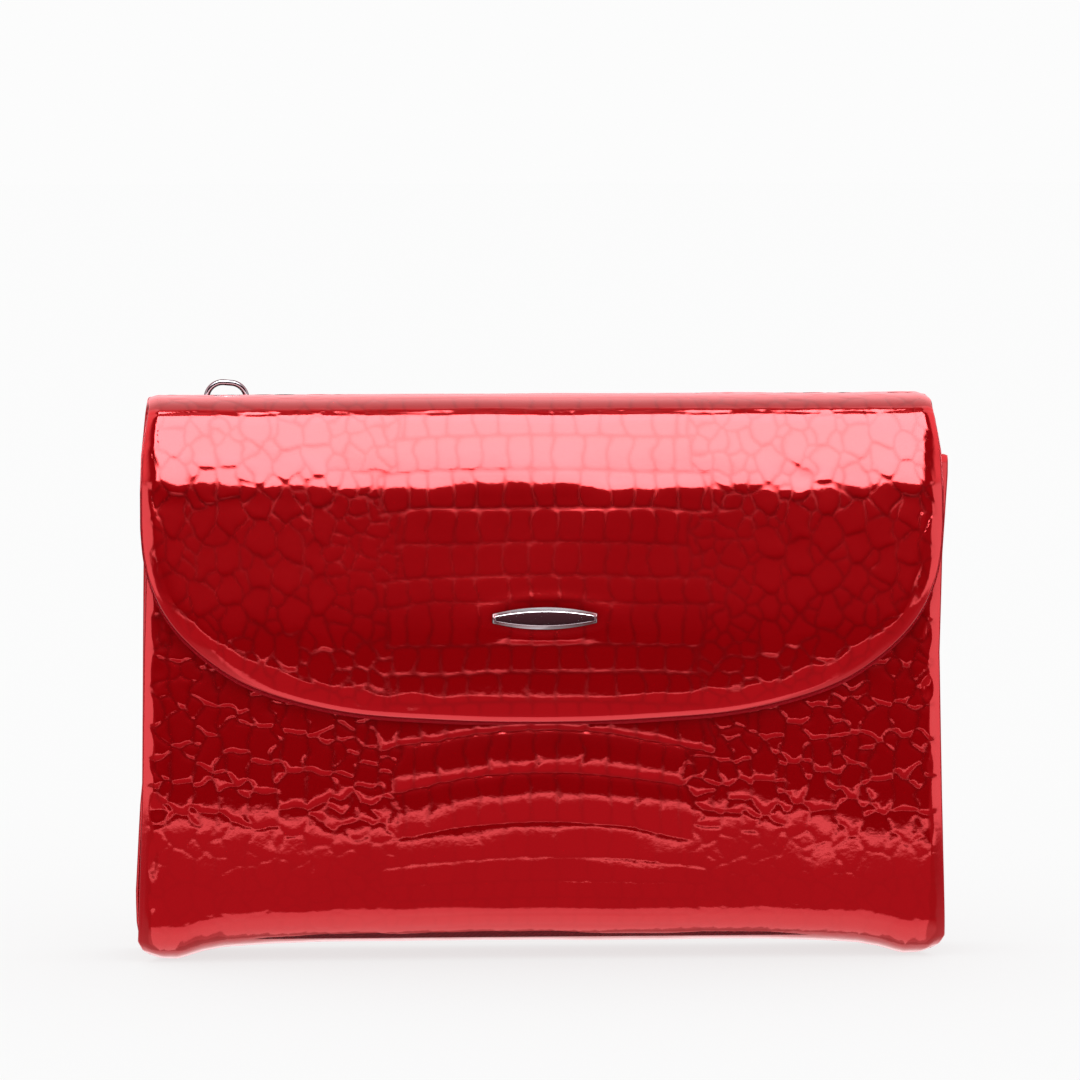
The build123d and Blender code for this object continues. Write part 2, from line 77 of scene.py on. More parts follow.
def cubic(t, y, tq):
    """Natural cubic spline through (t, y), read at tq."""
    t, y = np.asarray(t, float), np.asarray(y, float)
    n = len(t)
    h = np.diff(t)
    A = np.zeros((n, n))
    r = np.zeros(n)
    A[0, 0] = A[-1, -1] = 1.0
    for i in range(1, n - 1):
        A[i, i - 1], A[i, i], A[i, i + 1] = h[i - 1], 2 * (h[i - 1] + h[i]), h[i]
        r[i] = 6 * ((y[i + 1] - y[i]) / h[i] - (y[i] - y[i - 1]) / h[i - 1])
    m = np.linalg.solve(A, r)
    i = np.clip(np.searchsorted(t, tq) - 1, 0, n - 2)
    d, H = tq - t[i], h[i]
    return y[i] + d * ((y[i + 1] - y[i]) / H - H * (2 * m[i] + m[i + 1]) / 6) + d ** 2 * m[i] / 2 + d ** 3 * (m[i + 1] - m[i]) / (6 * H)


class Prof:
    """A section curve in (y, z), with arc length s, and outward normal. way=1 when outward is to the left of travel."""

    def __init__(self, pts, way):
        P = np.array(pts, float)
        t = np.r_[0, np.cumsum(np.hypot(np.diff(P[:, 0]), np.diff(P[:, 1])))]
        tq = np.linspace(0, t[-1], 6000)
        self.y, self.z = cubic(t, P[:, 0], tq), cubic(t, P[:, 1], tq)
        self.s = np.r_[0, np.cumsum(np.hypot(np.diff(self.y), np.diff(self.z)))]
        ty, tz = np.gradient(self.y, self.s), np.gradient(self.z, self.s)
        self.ny, self.nz = way * tz, -way * ty
        self.L = self.s[-1]

    def at(self, s):
        f = lambda a: np.interp(s, self.s, a)
        ny, nz = f(self.ny), f(self.nz)
        q = np.hypot(ny, nz)
        return f(self.y), f(self.z), ny / q, nz / q

    def s_at_z(self, z):
        """Arc length where a curve that only goes down from its highest point reaches z."""
        k = int(np.argmax(self.z))
        zz, ss = self.z[k:], self.s[k:]
        e = int(np.argmin(zz)) + 1
        return np.interp(-np.asarray(z, float), -zz[:e], ss[:e])

    def y_at_z(self, z):
        return np.interp(self.s_at_z(z), self.s, self.y)


FRONT = Prof([(-14.55, 139.0), (-15.8, 128.0), (-17.0, 118.0), (-18.2, 105.0), (-19.3, 90.0), (-20.4, 72.0), (-21.1, 54.0),
              (-21.15, 40.0), (-20.75, 26.0), (-20.05, 14.0), (-18.6, 6.6), (-15.6, 2.2), (-11.4, 0.35), (-6.0, 0.0), (2.0, 0.0)], 1)
BACK = Prof([(2.0, 155.75), (8.5, 155.3), (12.6, 154.3), (14.9, 152.6), (15.75, 150.6), (15.72, 148.0), (15.9, 142.0), (16.1, 136.0),
             (16.8, 120.0), (17.4, 95.0), (17.8, 65.0), (17.9, 40.0), (17.75, 18.0), (17.2, 8.0), (15.9, 3.2), (13.2, 0.7), (9.0, 0.05), (2.0, 0.0)], -1)
FLAP = Prof([(2.0, 155.75), (-3.0, 155.6), (-8.2, 155.0), (-11.2, 154.1), (-13.4, 152.6), (-15.3, 149.9), (-17.25, 144.6), (-19.1, 137.8),
             (-20.0, 134.0), (-20.62, 131.0), (-21.0, 128.0), (-21.5, 124.0), (-22.86, 113.5), (-24.52, 101.0), (-25.40, 92.0), (-25.66, 83.0), (-25.78, 74.0), (-25.72, 66.0)], 1)

FLAP_EDGE = [(0, 67.3), (15, 67.5), (35, 68.5), (52, 70.0), (66, 72.8), (76, 75.8), (84, 79.3), (91.5, 84.2),
             (97.5, 89.4), (102, 94.6), (105.4, 100.2), (107.9, 106.5), (109.4, 113.5), (110.0, 121.0)]


def smooth(a, b, x):
    t = np.clip((x - a) / (b - a), 0, 1)
    return t * t * (3 - 2 * t)


def waves(u, v, length, seed, n=18):
    """Smooth pseudo-random field of about unit size."""
    g = np.random.default_rng(seed)
    out = np.zeros(np.broadcast(u, v).shape)
    for _ in range(n):
        a = g.uniform(0, 2 * math.pi)
        k = 2 * math.pi / (length * g.uniform(0.7, 1.5))
        out += np.cos(k * (u * math.cos(a) + v * math.sin(a)) + g.uniform(0, 2 * math.pi))
    return out / math.sqrt(n / 2)


ARCH_X = np.array([0, 45, 62, 76, 88, 94, 98.5, 101, 112.0])
ARCH_V = np.array([1.0, 1.0, 0.97, 0.88, 0.70, 0.46, 0.14, 0.0, 0.0]) * 4.4


def arch(x):
    return np.interp(np.abs(x), ARCH_X, ARCH_V)


# ------------------------------------------------------------------------------------------------------------------
# embossed hide: rows of rectangular belly scales in the middle, small polygons beside them, large ovals on the flanks
# ------------------------------------------------------------------------------------------------------------------


class Hide:
    def __init__(self, u1, v1, seed, rows, bend, half, px=0.25, groove=0.34, dome=0.16, row_dome=0.13, oval=(6.6, 9.6), tilt=0.012, belly=(6.0, 8.6)):
        """rows: v of the belly's row lines at u=0. bend(v): how much lower a row line lies at |u|=44 than at 0."""
        g = np.random.default_rng(seed)
        self.u0, self.v0, self.px = -u1, -4.0, px
        U, V = np.meshgrid(np.arange(-u1, u1 + px, px), np.arange(self.v0, v1 + 4 + px, px))
        rows = np.array(rows, float)
        # warped v: straightens the arched row lines
        W = V - bend(V) * (np.abs(U) / 44.0) ** 2 - 0.35 * waves(U, V, 26, seed + 1) * smooth(10, 40, np.abs(U))
        idx = np.clip(np.searchsorted(rows, W) - 1, 0, len(rows) - 2)
        lo, hi = rows[idx], rows[idx + 1]
        f = np.clip((W - lo) / (hi - lo), 0, 1)
        hw = half + g.uniform(-3.4, 3.4, len(rows))
        brick = (np.abs(U + 0.8 * waves(U * 0, V, 17, seed + 2)) < hw[idx]) & (W > rows[0]) & (W < rows[-1])
        B = np.full(U.shape, 9.0)
        ID = np.full(U.shape, -1, int)
        tile_c = np.zeros(U.shape)
        for r in range(len(rows) - 1):
            m = brick & (idx == r)
            if not m.any():
                continue
            edges = [0.0]
            sgn = 1
            left, right = [-g.uniform(2.6, 4.4)], [g.uniform(2.6, 4.4)]
            h = rows[r + 1] - rows[r]
            while right[-1] < 60:
                right.append(right[-1] + g.uniform(*belly) * (1.0 if h > 7 else 0.8) * (1 - 0.22 * smooth(10, 50, right[-1])))
            while left[-1] > -60:
                left.append(left[-1] - g.uniform(*belly) * (1.0 if h > 7 else 0.8) * (1 - 0.22 * smooth(10, 50, -left[-1])))
            e = np.array(left[::-1] + right)
            uu = U[m] + 0.35 * waves(U[m], V[m], 9, seed + 3) + 0.5 * (f[m] - 0.5) * np.sin(r * 2.1)
            j = np.clip(np.searchsorted(e, uu) - 1, 0, len(e) - 2)
            du = np.minimum(uu - e[j], e[j + 1] - uu)
            dv = np.minimum(f[m], 1 - f[m]) * h
            k = 2.2
            B[m] = np.maximum(0, -np.log(np.exp(-k * du) + np.exp(-k * dv)) / k)
            ID[m] = 100000 + r * 200 + j
            tile_c[m] = (uu - (e[j] + e[j + 1]) / 2)
        # cells outside the belly
        sites = []

        def far_enough(pu, pv, rad):
            for q in reversed(sites[-400:]):
                if abs(q[0] - pu) < 9 and (q[0] - pu) ** 2 + ((q[1] - pv) * 0.8) ** 2 < (rad * 0.5 + q[5] * 0.5) ** 2:
                    return False
            return True

        # large upright ovals on the flanks, in staggered files
        x = half + 19.0
        col = 0
        while x < u1 + 6:
            for side in (-1, 1):
                v = self.v0 - 4 + (col % 2) * 5.0 + g.uniform(-1.2, 1.2)
                while v < v1 + 8:
                    stretch = g.uniform(0.85, 1.2)
                    sites.append((side * (x + g.uniform(-0.7, 0.7)), v, 1.0, 0.50, 6.0 * g.uniform(0.4, 1.5), 7.0))
                    v += oval[1] * stretch
            x += oval[0] * g.uniform(1.08, 1.28)
            col += 1
        n_big = len(sites)
        big = np.array([(s[0], s[1]) for s in sites])
        # small filler scales between them, and small polygons beside the belly
        cand = np.stack([g.uniform(-u1 - 4, u1 + 4, 9000), g.uniform(self.v0 - 2, v1 + 6, 9000)], 1)
        small = []
        for pu, pv in cand:
            a = abs(pu)
            if a < half - 5:
                continue
            near_belly = a < half + 15
            rad = g.uniform(3.0, 4.6) if near_belly else g.uniform(2.2, 3.4)
            d = np.hypot((big[:, 0] - pu) * 1.0, (big[:, 1] - pv) * 0.72)
            if d.min() < (4.1 if not near_belly else 4.4):
                continue
            if small:
                q = np.array(small[-900:])
                if (np.hypot(q[:, 0] - pu, q[:, 1] - pv) < (rad + q[:, 2]) / 2).any():
                    continue
            small.append((pu, pv, rad))
        for pu, pv, rad in small:
            sites.append((pu, pv, 1.0, 0.9, 0.0, rad))
        S = np.array(sites)
        F1 = np.full(U.shape, 1e9)
        WID = np.full(U.shape, -1, int)
        nv, nu = U.shape
        uax, vax = U[0], V[:, 0]
        win = []
        warpU = U + 0.45 * waves(U, V, 7.5, seed + 5)
        warpV = V + 0.45 * waves(U, V, 7.5, seed + 6)
        for k, (pu, pv, ax, ay, w, rad) in enumerate(sites):
            R = 11.0 if k < n_big else 7.5
            i0, i1 = np.searchsorted(vax, (pv - R * 1.2, pv + R * 1.2))
            j0, j1 = np.searchsorted(uax, (pu - R, pu + R))
            win.append((i0, i1, j0, j1))
            if i1 <= i0 or j1 <= j0:
                continue
            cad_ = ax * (warpU[i0:i1, j0:j1] - pu) ** 2 + ay * (warpV[i0:i1, j0:j1] - pv) ** 2 - w
            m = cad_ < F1[i0:i1, j0:j1]
            F1[i0:i1, j0:j1][m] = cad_[m]
            WID[i0:i1, j0:j1][m] = k
        BV = np.full(U.shape, 4.0)
        for k, (pu, pv, ax, ay, w, rad) in enumerate(sites):
            i0, i1, j0, j1 = win[k]
            if i1 <= i0 or j1 <= j0:
                continue
            uu, vv = warpU[i0:i1, j0:j1], warpV[i0:i1, j0:j1]
            o = WID[i0:i1, j0:j1]
            so = S[o]
            f2 = ax * (uu - pu) ** 2 + ay * (vv - pv) ** 2 - w
            gu = 2 * (ax * (uu - pu) - so[..., 2] * (uu - so[..., 0]))
            gv = 2 * (ay * (vv - pv) - so[..., 3] * (vv - so[..., 1]))
            d = (f2 - F1[i0:i1, j0:j1]) / np.maximum(1e-6, np.hypot(gu, gv))
            m = (o != k) & (o >= 0)
            b = BV[i0:i1, j0:j1]
            b[m] = np.minimum(b[m], d[m])
        out = ~brick
        B[out] = BV[out]
        ID[out] = WID[out]
        # distance to the border between belly and flank
        D = np.full(U.shape, 2.6)
        R = int(2.4 / px)
        for di in range(-R, R + 1, 1):
            for dj in range(-R, R + 1, 1):
                dist = math.hypot(di, dj) * px
                if dist == 0 or dist > 2.4 or (abs(di) + abs(dj)) % 2:
                    continue
                sh = np.roll(np.roll(brick, di, 0), dj, 1)
                D[(sh != brick) & (D > dist)] = dist
        D = np.maximum(0, D - 0.15)
        B = np.minimum(B, D)
        self.B = self._blur(B, 1)
        # heights
        big_mask = out & (WID < n_big) & (WID >= 0)
        gr = np.exp(-(self.B / 0.36) ** 1.6)
        crown = 1 - np.exp(-self.B / 1.5)
        h = -groove * gr + dome * crown * np.where(brick, 0.45, np.where(big_mask, 1.9, 1.0))
        h += np.where(brick, row_dome * (1 - (2 * f - 1) ** 2) * np.clip((hi - lo) / 9.0, 0.4, 1.5), 0)
        # each scale leans a little its own way
        ids, inv = np.unique(ID, return_inverse=True)
        inv = inv.reshape(ID.shape)
        cnt = np.bincount(inv.ravel())
        cu = np.bincount(inv.ravel(), U.ravel()) / cnt
        cv = np.bincount(inv.ravel(), V.ravel()) / cnt
        tu, tv = g.normal(0, tilt, len(ids)), g.normal(0, tilt, len(ids))
        k = np.where(brick, 0.45, 1.0)
        h += k * (tu[inv] * (U - cu[inv]) + tv[inv] * (V - cv[inv])) * crown
        # flank ovals are fuller towards their lower end
        h += np.where(big_mask, 0.10 * crown * np.clip((V - cv[inv]) / 5.0, -1, 1), 0)
        self.h = self._blur(h, 1)
        self.rand = g.uniform(0, 1, len(ids))[inv]
        gv, gu = np.gradient(self.B, px)
        self.gu, self.gv = gu, gv

    @staticmethod
    def _blur(a, n):
        for _ in range(n):
            a = (np.roll(a, 1, 0) + 2 * a + np.roll(a, -1, 0)) / 4
            a = (np.roll(a, 1, 1) + 2 * a + np.roll(a, -1, 1)) / 4
        return a

    def read(self, a, u, v):
        x = np.clip((u - self.u0) / self.px, 0, a.shape[1] - 1.001)
        y = np.clip((v - self.v0) / self.px, 0, a.shape[0] - 1.001)
        i, j = y.astype(int), x.astype(int)
        fy, fx = y - i, x - j
        return (a[i, j] * (1 - fx) + a[i, j + 1] * fx) * (1 - fy) + (a[i + 1, j] * (1 - fx) + a[i + 1, j + 1] * fx) * fy

    def snap(self, u, v, step, keep=None):
        """Moves grid points that lie close to a groove onto it, so that grooves stay crisp on the mesh."""
        b = self.read(self.B, u, v)
        gu, gv = self.read(self.gu, u, v), self.read(self.gv, u, v)
        q = np.maximum(0.3, np.hypot(gu, gv))
        m = np.clip(1.6 - b / (0.36 * step), 0, 1) * np.minimum(b, 0.45 * step)
        if keep is not None:
            m = m * keep
        return u - m * gu / q, v - m * gv / q

    def height(self, u, v):
        return self.read(self.h, u, v)

    def tone(self, u, v):
        # the groove mask below drives the deeper dye and the painted shade in the grooves; the second value is random
        # per scale
        b = self.read(self.B, u, v)
        j = np.clip(((u - self.u0) / self.px).astype(int), 0, self.rand.shape[1] - 1)
        i = np.clip(((v - self.v0) / self.px).astype(int), 0, self.rand.shape[0] - 1)
        return np.exp(-(b / 0.5) ** 2), self.rand[i, j]


# ------------------------------------------------------------------------------------------------------------------
# mesh helpers
# ------------------------------------------------------------------------------------------------------------------


def make_object(name, verts, faces, attrs=None, mat=None, smooth_shade=True):
    """verts in millimetres in the CAD frame before the shift along Y."""
    v = np.asarray(verts, float).copy()
    v[:, 1] += YS
    v *= MM
    me = bpy.data.meshes.new(name)
    if isinstance(faces, np.ndarray) and faces.ndim == 2:
        n, k = faces.shape
        me.vertices.add(len(v))
        me.vertices.foreach_set("co", v.ravel())
        me.loops.add(n * k)
        me.loops.foreach_set("vertex_index", faces.ravel().astype(np.int32))
        me.polygons.add(n)
        me.polygons.foreach_set("loop_start", np.arange(0, n * k, k, dtype=np.int32))
        me.update(calc_edges=True)
        me.validate()
    else:
        me.from_pydata([tuple(p) for p in v], [], [tuple(int(i) for i in f) for f in faces])
        me.update()
    if smooth_shade:
        me.polygons.foreach_set("use_smooth", np.ones(len(me.polygons), bool))
    for key, val in (attrs or {}).items():
        a = me.attributes.new(key, "FLOAT_COLOR", "POINT")
        val = np.asarray(val, float)
        if val.shape[1] == 3:
            val = np.c_[val, np.ones(len(val))]
        a.data.foreach_set("color", val.astype(np.float32).ravel())
    ob = bpy.data.objects.new(name, me)
    scene.collection.objects.link(ob)
    if mat:
        me.materials.append(mat)
    return ob


def grid_faces(R, C, base=0):
    i, j = np.meshgrid(np.arange(R - 1), np.arange(C - 1), indexing="ij")
    a = base + i * C + j
    return np.stack([a, a + C, a + C + 1, a + 1], -1).reshape(-1, 4)


def fix_normals(ob):
    bm = bmesh.new()
    bm.from_mesh(ob.data)
    bmesh.ops.recalc_face_normals(bm, faces=bm.faces)
    bm.to_mesh(ob.data)
    bm.free()


def bake(ob):
    dg = bpy.context.evaluated_depsgraph_get()
    me = bpy.data.meshes.new_from_object(ob.evaluated_get(dg), preserve_all_data_layers=True, depsgraph=dg)
    old = ob.data
    ob.modifiers.clear()
    ob.data = me
    bpy.data.meshes.remove(old)
    return ob


def join(name, obs):
    """Joins objects into the first, keeping attributes and material slots."""
    bpy.ops.object.select_all(action="DESELECT")
    for o in obs:
        o.select_set(True)
    bpy.context.view_layer.objects.active = obs[0]
    bpy.ops.object.join()
    obs[0].name = name
    obs[0].data.name = name
    return obs[0]


def finish_piece(ob, body, node=None):
    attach(ob, body)
    if node:
        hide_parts(*([node] if isinstance(node, str) else node))
    return ob


# ------------------------------------------------------------------------------------------------------------------
# materials
# ------------------------------------------------------------------------------------------------------------------


class Mat:
    def __init__(self, name):
        self.m = bpy.data.materials.new(name)
        self.m.use_nodes = True
        self.nt = self.m.node_tree
        self.nt.nodes.clear()
        self.out = self.nt.nodes.new("ShaderNodeOutputMaterial")
        self.p = self.nt.nodes.new("ShaderNodeBsdfPrincipled")
        self.nt.links.new(self.p.outputs[0], self.out.inputs[0])

    def node(self, kind, **kw):
        n = self.nt.nodes.new(kind)
        for k, v in kw.items():
            setattr(n, k, v)
        return n

    def link(self, a, b):
        self.nt.links.new(a, b)

    def set(self, **kw):
        for k, v in kw.items():
            self.p.inputs[k.replace("_", " ")].default_value = v

    def math(self, op, a, b=None, c=None):
        n = self.node("ShaderNodeMath", operation=op)
        for i, x in enumerate((a, b, c)):
            if x is None:
                continue
            if hasattr(x, "links"):
                self.link(x, n.inputs[i])
            else:
                n.inputs[i].default_value = x
        return n.outputs[0]

    def attr(self, name):
        return self.node("ShaderNodeAttribute", attribute_name=name)

    def noise(self, vec, scale, detail=3, rough=0.5):
        n = self.node("ShaderNodeTexNoise")
        if vec is not None:
            self.link(vec, n.inputs["Vector"])
        n.inputs["Scale"].default_value = scale
        n.inputs["Detail"].default_value = detail
        n.inputs["Roughness"].default_value = rough
        return n.outputs[0]

    def ramp(self, fac, stops):
        n = self.node("ShaderNodeValToRGB")
        self.link(fac, n.inputs[0])
        cr = n.color_ramp
        while len(cr.elements) < len(stops):
            cr.elements.new(0.5)
        for e, (p, c) in zip(cr.elements, stops):
            e.position = p
            e.color = tuple(c) + (1,) if len(c) == 3 else c
        return n.outputs[0]

    def mix(self, fac, a, b):
        n = self.node("ShaderNodeMix", data_type="RGBA")
        for i, x in ((0, fac), (6, a), (7, b)):
            if hasattr(x, "links"):
                self.link(x, n.inputs[i])
            else:
                n.inputs[i].default_value = x if i == 0 else tuple(x) + (1,)
        return n.outputs[2]

    def bump(self, h, strength, dist, normal=None):
        n = self.node("ShaderNodeBump")
        n.inputs["Strength"].default_value = strength
        n.inputs["Distance"].default_value = dist
        self.link(h, n.inputs["Height"])
        if normal is not None:
            self.link(normal, n.inputs["Normal"])
        return n.outputs[0]


SPEC = (1.0, 0.115, 0.125)


def leather_material(name, base, deep, gloss=0.04, fine=0.0014, wear=0.5):
    """Lacquered embossed hide. Needs the attributes 'uvw' (mm along the hide) and 'hide' (groove, per-scale random)."""
    M = Mat(name)
    uvw = M.attr("uvw").outputs["Vector"]
    hide = M.attr("hide")
    sep = M.node("ShaderNodeSeparateColor")
    M.link(hide.outputs["Color"], sep.inputs[0])
    groove, rand, rub = sep.outputs[0], sep.outputs[1], sep.outputs[2]
    cloud = M.noise(uvw, 0.035, 3, 0.55)
    grain = M.noise(uvw, 1.4, 4, 0.6)
    # colour: a clouded dye, darker in the grooves (partly deeper dye, partly painted shade in the recesses), a touch
    # lighter where edges rub
    c = M.mix(M.math("MULTIPLY", cloud, 0.55), base, tuple(x * 0.80 for x in base))
    c = M.mix(M.math("MULTIPLY", rand, 0.16), c, tuple(min(1, x * 1.22 + 0.0005) for x in base))
    c = M.mix(M.math("MULTIPLY", grain, 0.10), c, deep)
    # painted shade: the groove mask darkens the colour as if the recesses were shadowed, on top of the deeper dye there
    c = M.mix(M.math("MULTIPLY", groove, 0.55), c, tuple(v * 0.8 for v in deep))
    c = M.mix(M.math("MULTIPLY", rub, wear), c, (min(1, base[0] * 1.45), base[1] * 6 + 0.006, base[2] * 3 + 0.01))
    M.link(c, M.p.inputs["Base Color"])
    # lacquer: nearly mirror-like, slightly duller in the grooves and where rubbed
    r = M.math("ADD", M.math("MULTIPLY", M.noise(uvw, 0.12, 2), 0.035), gloss - 0.015)
    r = M.math("ADD", r, M.math("MULTIPLY", groove, 0.10))
    r = M.math("ADD", r, M.math("MULTIPLY", rub, 0.10))
    M.link(r, M.p.inputs["Roughness"])
    M.set(IOR=1.62)
    M.p.inputs["Specular IOR Level"].default_value = 1.0
    # painted shade in the reflection: the specular tint is dimmed in the grooves, partly for dust, partly for shade in
    # the recesses
    M.link(M.mix(M.math("MULTIPLY", groove, 0.42), SPEC, tuple(v * q for v, q in zip(SPEC, (0.80, 0.62, 0.62)))), M.p.inputs["Specular Tint"])
    orange = M.noise(uvw, 0.55, 2, 0.5)
    pores = M.node("ShaderNodeTexVoronoi")
    M.link(uvw, pores.inputs["Vector"])
    pores.inputs["Scale"].default_value = 1.1
    hgt = M.math("ADD", M.math("MULTIPLY", orange, 1.0), M.math("MULTIPLY", M.math("SMOOTH_MIN", pores.outputs["Distance"], 0.35, 0.2), 0.12))
    hgt = M.math("ADD", hgt, M.math("MULTIPLY", grain, 0.05))
    M.link(M.bump(hgt, 1.0, fine * MM * 10), M.p.inputs["Normal"])
    return M.m


def smooth_leather(name, base, rough=0.28):
    """Fine-grained facing leather, semi-gloss, for turned edges, facings and tabs."""
    M = Mat(name)
    tc = M.node("ShaderNodeTexCoord").outputs["Object"]
    cloud = M.noise(tc, 60, 3)
    v = M.node("ShaderNodeTexVoronoi", feature="DISTANCE_TO_EDGE")
    M.link(tc, v.inputs["Vector"])
    v.inputs["Scale"].default_value = 1500
    crease = M.math("SMOOTH_MIN", v.outputs["Distance"], 0.16, 0.08)
    c = M.mix(M.math("MULTIPLY", cloud, 0.6), base, tuple(x * 0.68 for x in base))
    c = M.mix(M.math("SUBTRACT", 0.35, M.math("MULTIPLY", crease, 2.2)), c, tuple(x * 0.5 for x in base))
    M.link(c, M.p.inputs["Base Color"])
    M.link(M.math("ADD", M.math("MULTIPLY", M.noise(tc, 700, 2), 0.14), rough - 0.07), M.p.inputs["Roughness"])
    M.set(IOR=1.45)
    M.p.inputs["Specular IOR Level"].default_value = 0.35
    M.p.inputs["Specular Tint"].default_value = (1.0, 0.22, 0.25, 1)
    M.link(M.bump(crease, 0.5, 0.00008), M.p.inputs["Normal"])
    return M.m


def cloth_material(name, base, second, scale=1.0, sheen=0.35, kind="twill"):
    """Woven cloth: crossing threads from two wave textures, twill diagonal, slubs, soft sheen."""
    M = Mat(name)
    uvw = M.attr("uvw").outputs["Vector"]
    sep = M.node("ShaderNodeSeparateXYZ")
    M.link(uvw, sep.inputs[0])
    x = M.math("MULTIPLY", sep.outputs[0], 2.6 * scale * math.pi)
    y = M.math("MULTIPLY", sep.outputs[1], 2.6 * scale * math.pi)
    wob = M.math("MULTIPLY", M.noise(uvw, 0.35, 2), 2.0)
    warp = M.math("SINE", M.math("ADD", x, wob))
    weft = M.math("SINE", M.math("ADD", y, wob))
    if kind == "twill":
        diag = M.math("SINE", M.math("ADD", M.math("MULTIPLY", x, 0.5), M.math("MULTIPLY", y, 0.5)))
        h = M.math("ADD", M.math("MULTIPLY", diag, 0.7), M.math("MULTIPLY", M.math("MULTIPLY", warp, weft), 0.5))
    elif kind == "tape":
        zig = M.math("ABSOLUTE", M.math("SINE", M.math("MULTIPLY", y, 0.25)))
        h = M.math("ADD", M.math("SINE", M.math("ADD", M.math("MULTIPLY", x, 0.8), M.math("MULTIPLY", zig, 3.0))), M.math("MULTIPLY", weft, 0.3))
    else:
        h = M.math("MULTIPLY", warp, weft)
    h01 = M.math("MULTIPLY_ADD", h, 0.4, 0.5)
    slub = M.noise(uvw, 0.9, 3, 0.7)
    c = M.mix(h01, second, base)
    c = M.mix(M.math("MULTIPLY", slub, 0.5), c, tuple(v * 0.72 for v in base))
    c = M.mix(M.math("MULTIPLY", M.noise(uvw, 0.03, 2), 0.35), c, tuple(v * 1.25 for v in base))
    M.link(c, M.p.inputs["Base Color"])
    M.link(M.math("MULTIPLY_ADD", h01, -0.15, 0.78), M.p.inputs["Roughness"])
    M.set(Sheen_Weight=sheen, Sheen_Roughness=0.4)
    M.p.inputs["Sheen Tint"].default_value = tuple(min(1, v * 2 + 0.02) for v in base) + (1,)
    M.p.inputs["Specular IOR Level"].default_value = 0.12
    M.link(M.bump(M.math("ADD", h01, M.math("MULTIPLY", slub, 0.4)), 0.7, 0.00012), M.p.inputs["Normal"])
    return M.m


def metal_material(name, color, rough=0.06, brushed=0.0, dirt=0.25):
    M = Mat(name)
    tc = M.node("ShaderNodeTexCoord").outputs["Object"]
    mp = M.node("ShaderNodeMapping")
    M.link(tc, mp.inputs["Vector"])
    mp.inputs["Scale"].default_value = (1, 9, 9) if brushed else (1, 1, 1)
    n1 = M.noise(mp.outputs[0], 260, 3)
    n2 = M.noise(tc, 2400, 2)
    c = M.mix(M.math("MULTIPLY", n1, dirt), color, tuple(v * 0.72 for v in color))
    # painted shade: the base colour darkens to about an eighth where the surface turns away from the camera, drawing
    # dark outlines on the metal
    silhouette_shade = M.node("ShaderNodeLayerWeight")
    silhouette_shade.inputs["Blend"].default_value = 0.5
    c = M.mix(M.math("POWER", silhouette_shade.outputs["Facing"], 2.2), c, tuple(v * 0.12 for v in color))
    M.link(c, M.p.inputs["Base Color"])
    M.set(Metallic=1.0)
    M.p.inputs["Specular Tint"].default_value = (0.25, 0.25, 0.26, 1)
    M.link(M.math("ADD", M.math("MULTIPLY", M.math("ADD", n1, n2), 0.05 + brushed * 0.12), max(0.01, rough - 0.05)), M.p.inputs["Roughness"])
    M.link(M.bump(n2, 0.25 + brushed, 0.000004 + brushed * 0.00001), M.p.inputs["Normal"])
    return M.m


def board_material(name, base, speck):
    M = Mat(name)
    tc = M.node("ShaderNodeTexCoord").outputs["Object"]
    fib = M.noise(tc, 900, 5, 0.75)
    c = M.ramp(fib, [(0.32, speck), (0.5, base), (0.7, tuple(min(1, v * 1.15) for v in base))])
    M.link(c, M.p.inputs["Base Color"])
    M.set(Roughness=0.85)
    M.link(M.bump(fib, 0.5, 0.00015), M.p.inputs["Normal"])
    return M.m


RED = (0.272, 0.0003, 0.0020)
DEEP = (0.110, 0.0002, 0.0010)
M_HIDE = leather_material("croc_patent_red", RED, DEEP)
M_FACE = smooth_leather("facing_leather_red", (0.31, 0.003, 0.008), 0.2)
M_LINING = cloth_material("lining_twill", (0.095, 0.0035, 0.006), (0.040, 0.0015, 0.003), 1.0, 0.10)
M_POCKET = cloth_material("pocketing_plain", (0.075, 0.003, 0.005), (0.032, 0.0012, 0.002), 1.3, 0.08, "plain")
M_TAPE = cloth_material("zip_tape_weave", (0.10, 0.004, 0.008), (0.045, 0.002, 0.004), 0.9, 0.2, "tape")
M_CHROME = metal_material("polished_plate", (0.40, 0.40, 0.42), 0.06)
M_ORN = metal_material("bright_plate", (0.27, 0.27, 0.285), 0.05)
M_RING = metal_material("dark_plate", (0.115, 0.115, 0.125), 0.055)
M_ZIP = metal_material("zip_nickel", (0.34, 0.34, 0.36), 0.2, 0.2)
M_STEEL = metal_material("pressed_steel", (0.5, 0.5, 0.5), 0.3, 1.0)
M_MAGNET = board_material("ferrite", (0.07, 0.07, 0.075), (0.03, 0.03, 0.03))
M_BOARD = board_material("fibre_board", (0.060, 0.018, 0.016), (0.030, 0.008, 0.008))
M_FOAM = board_material("thin_foam", (0.78, 0.76, 0.70), (0.6, 0.58, 0.52))
M_THREAD = cloth_material("thread_red", (0.30, 0.010, 0.018), (0.13, 0.004, 0.008), 4.0, 0.2)


# ------------------------------------------------------------------------------------------------------------------
# skins: a displaced sheet with its edges turned under
# ------------------------------------------------------------------------------------------------------------------


def rim_rows(P, N, E, r, K, under, taper=0.0):
    """Rows that turn an edge under: P edge points, N normals, E outward directions in the sheet."""
    rows = []
    for k in range(1, K + 1):
        th = math.pi * k / K
        rows.append(P + r * math.sin(th) * E - r * (1 - math.cos(th)) * N)
    for t in under:
        rows.append(P - 2 * r * N - t * E)
    return rows


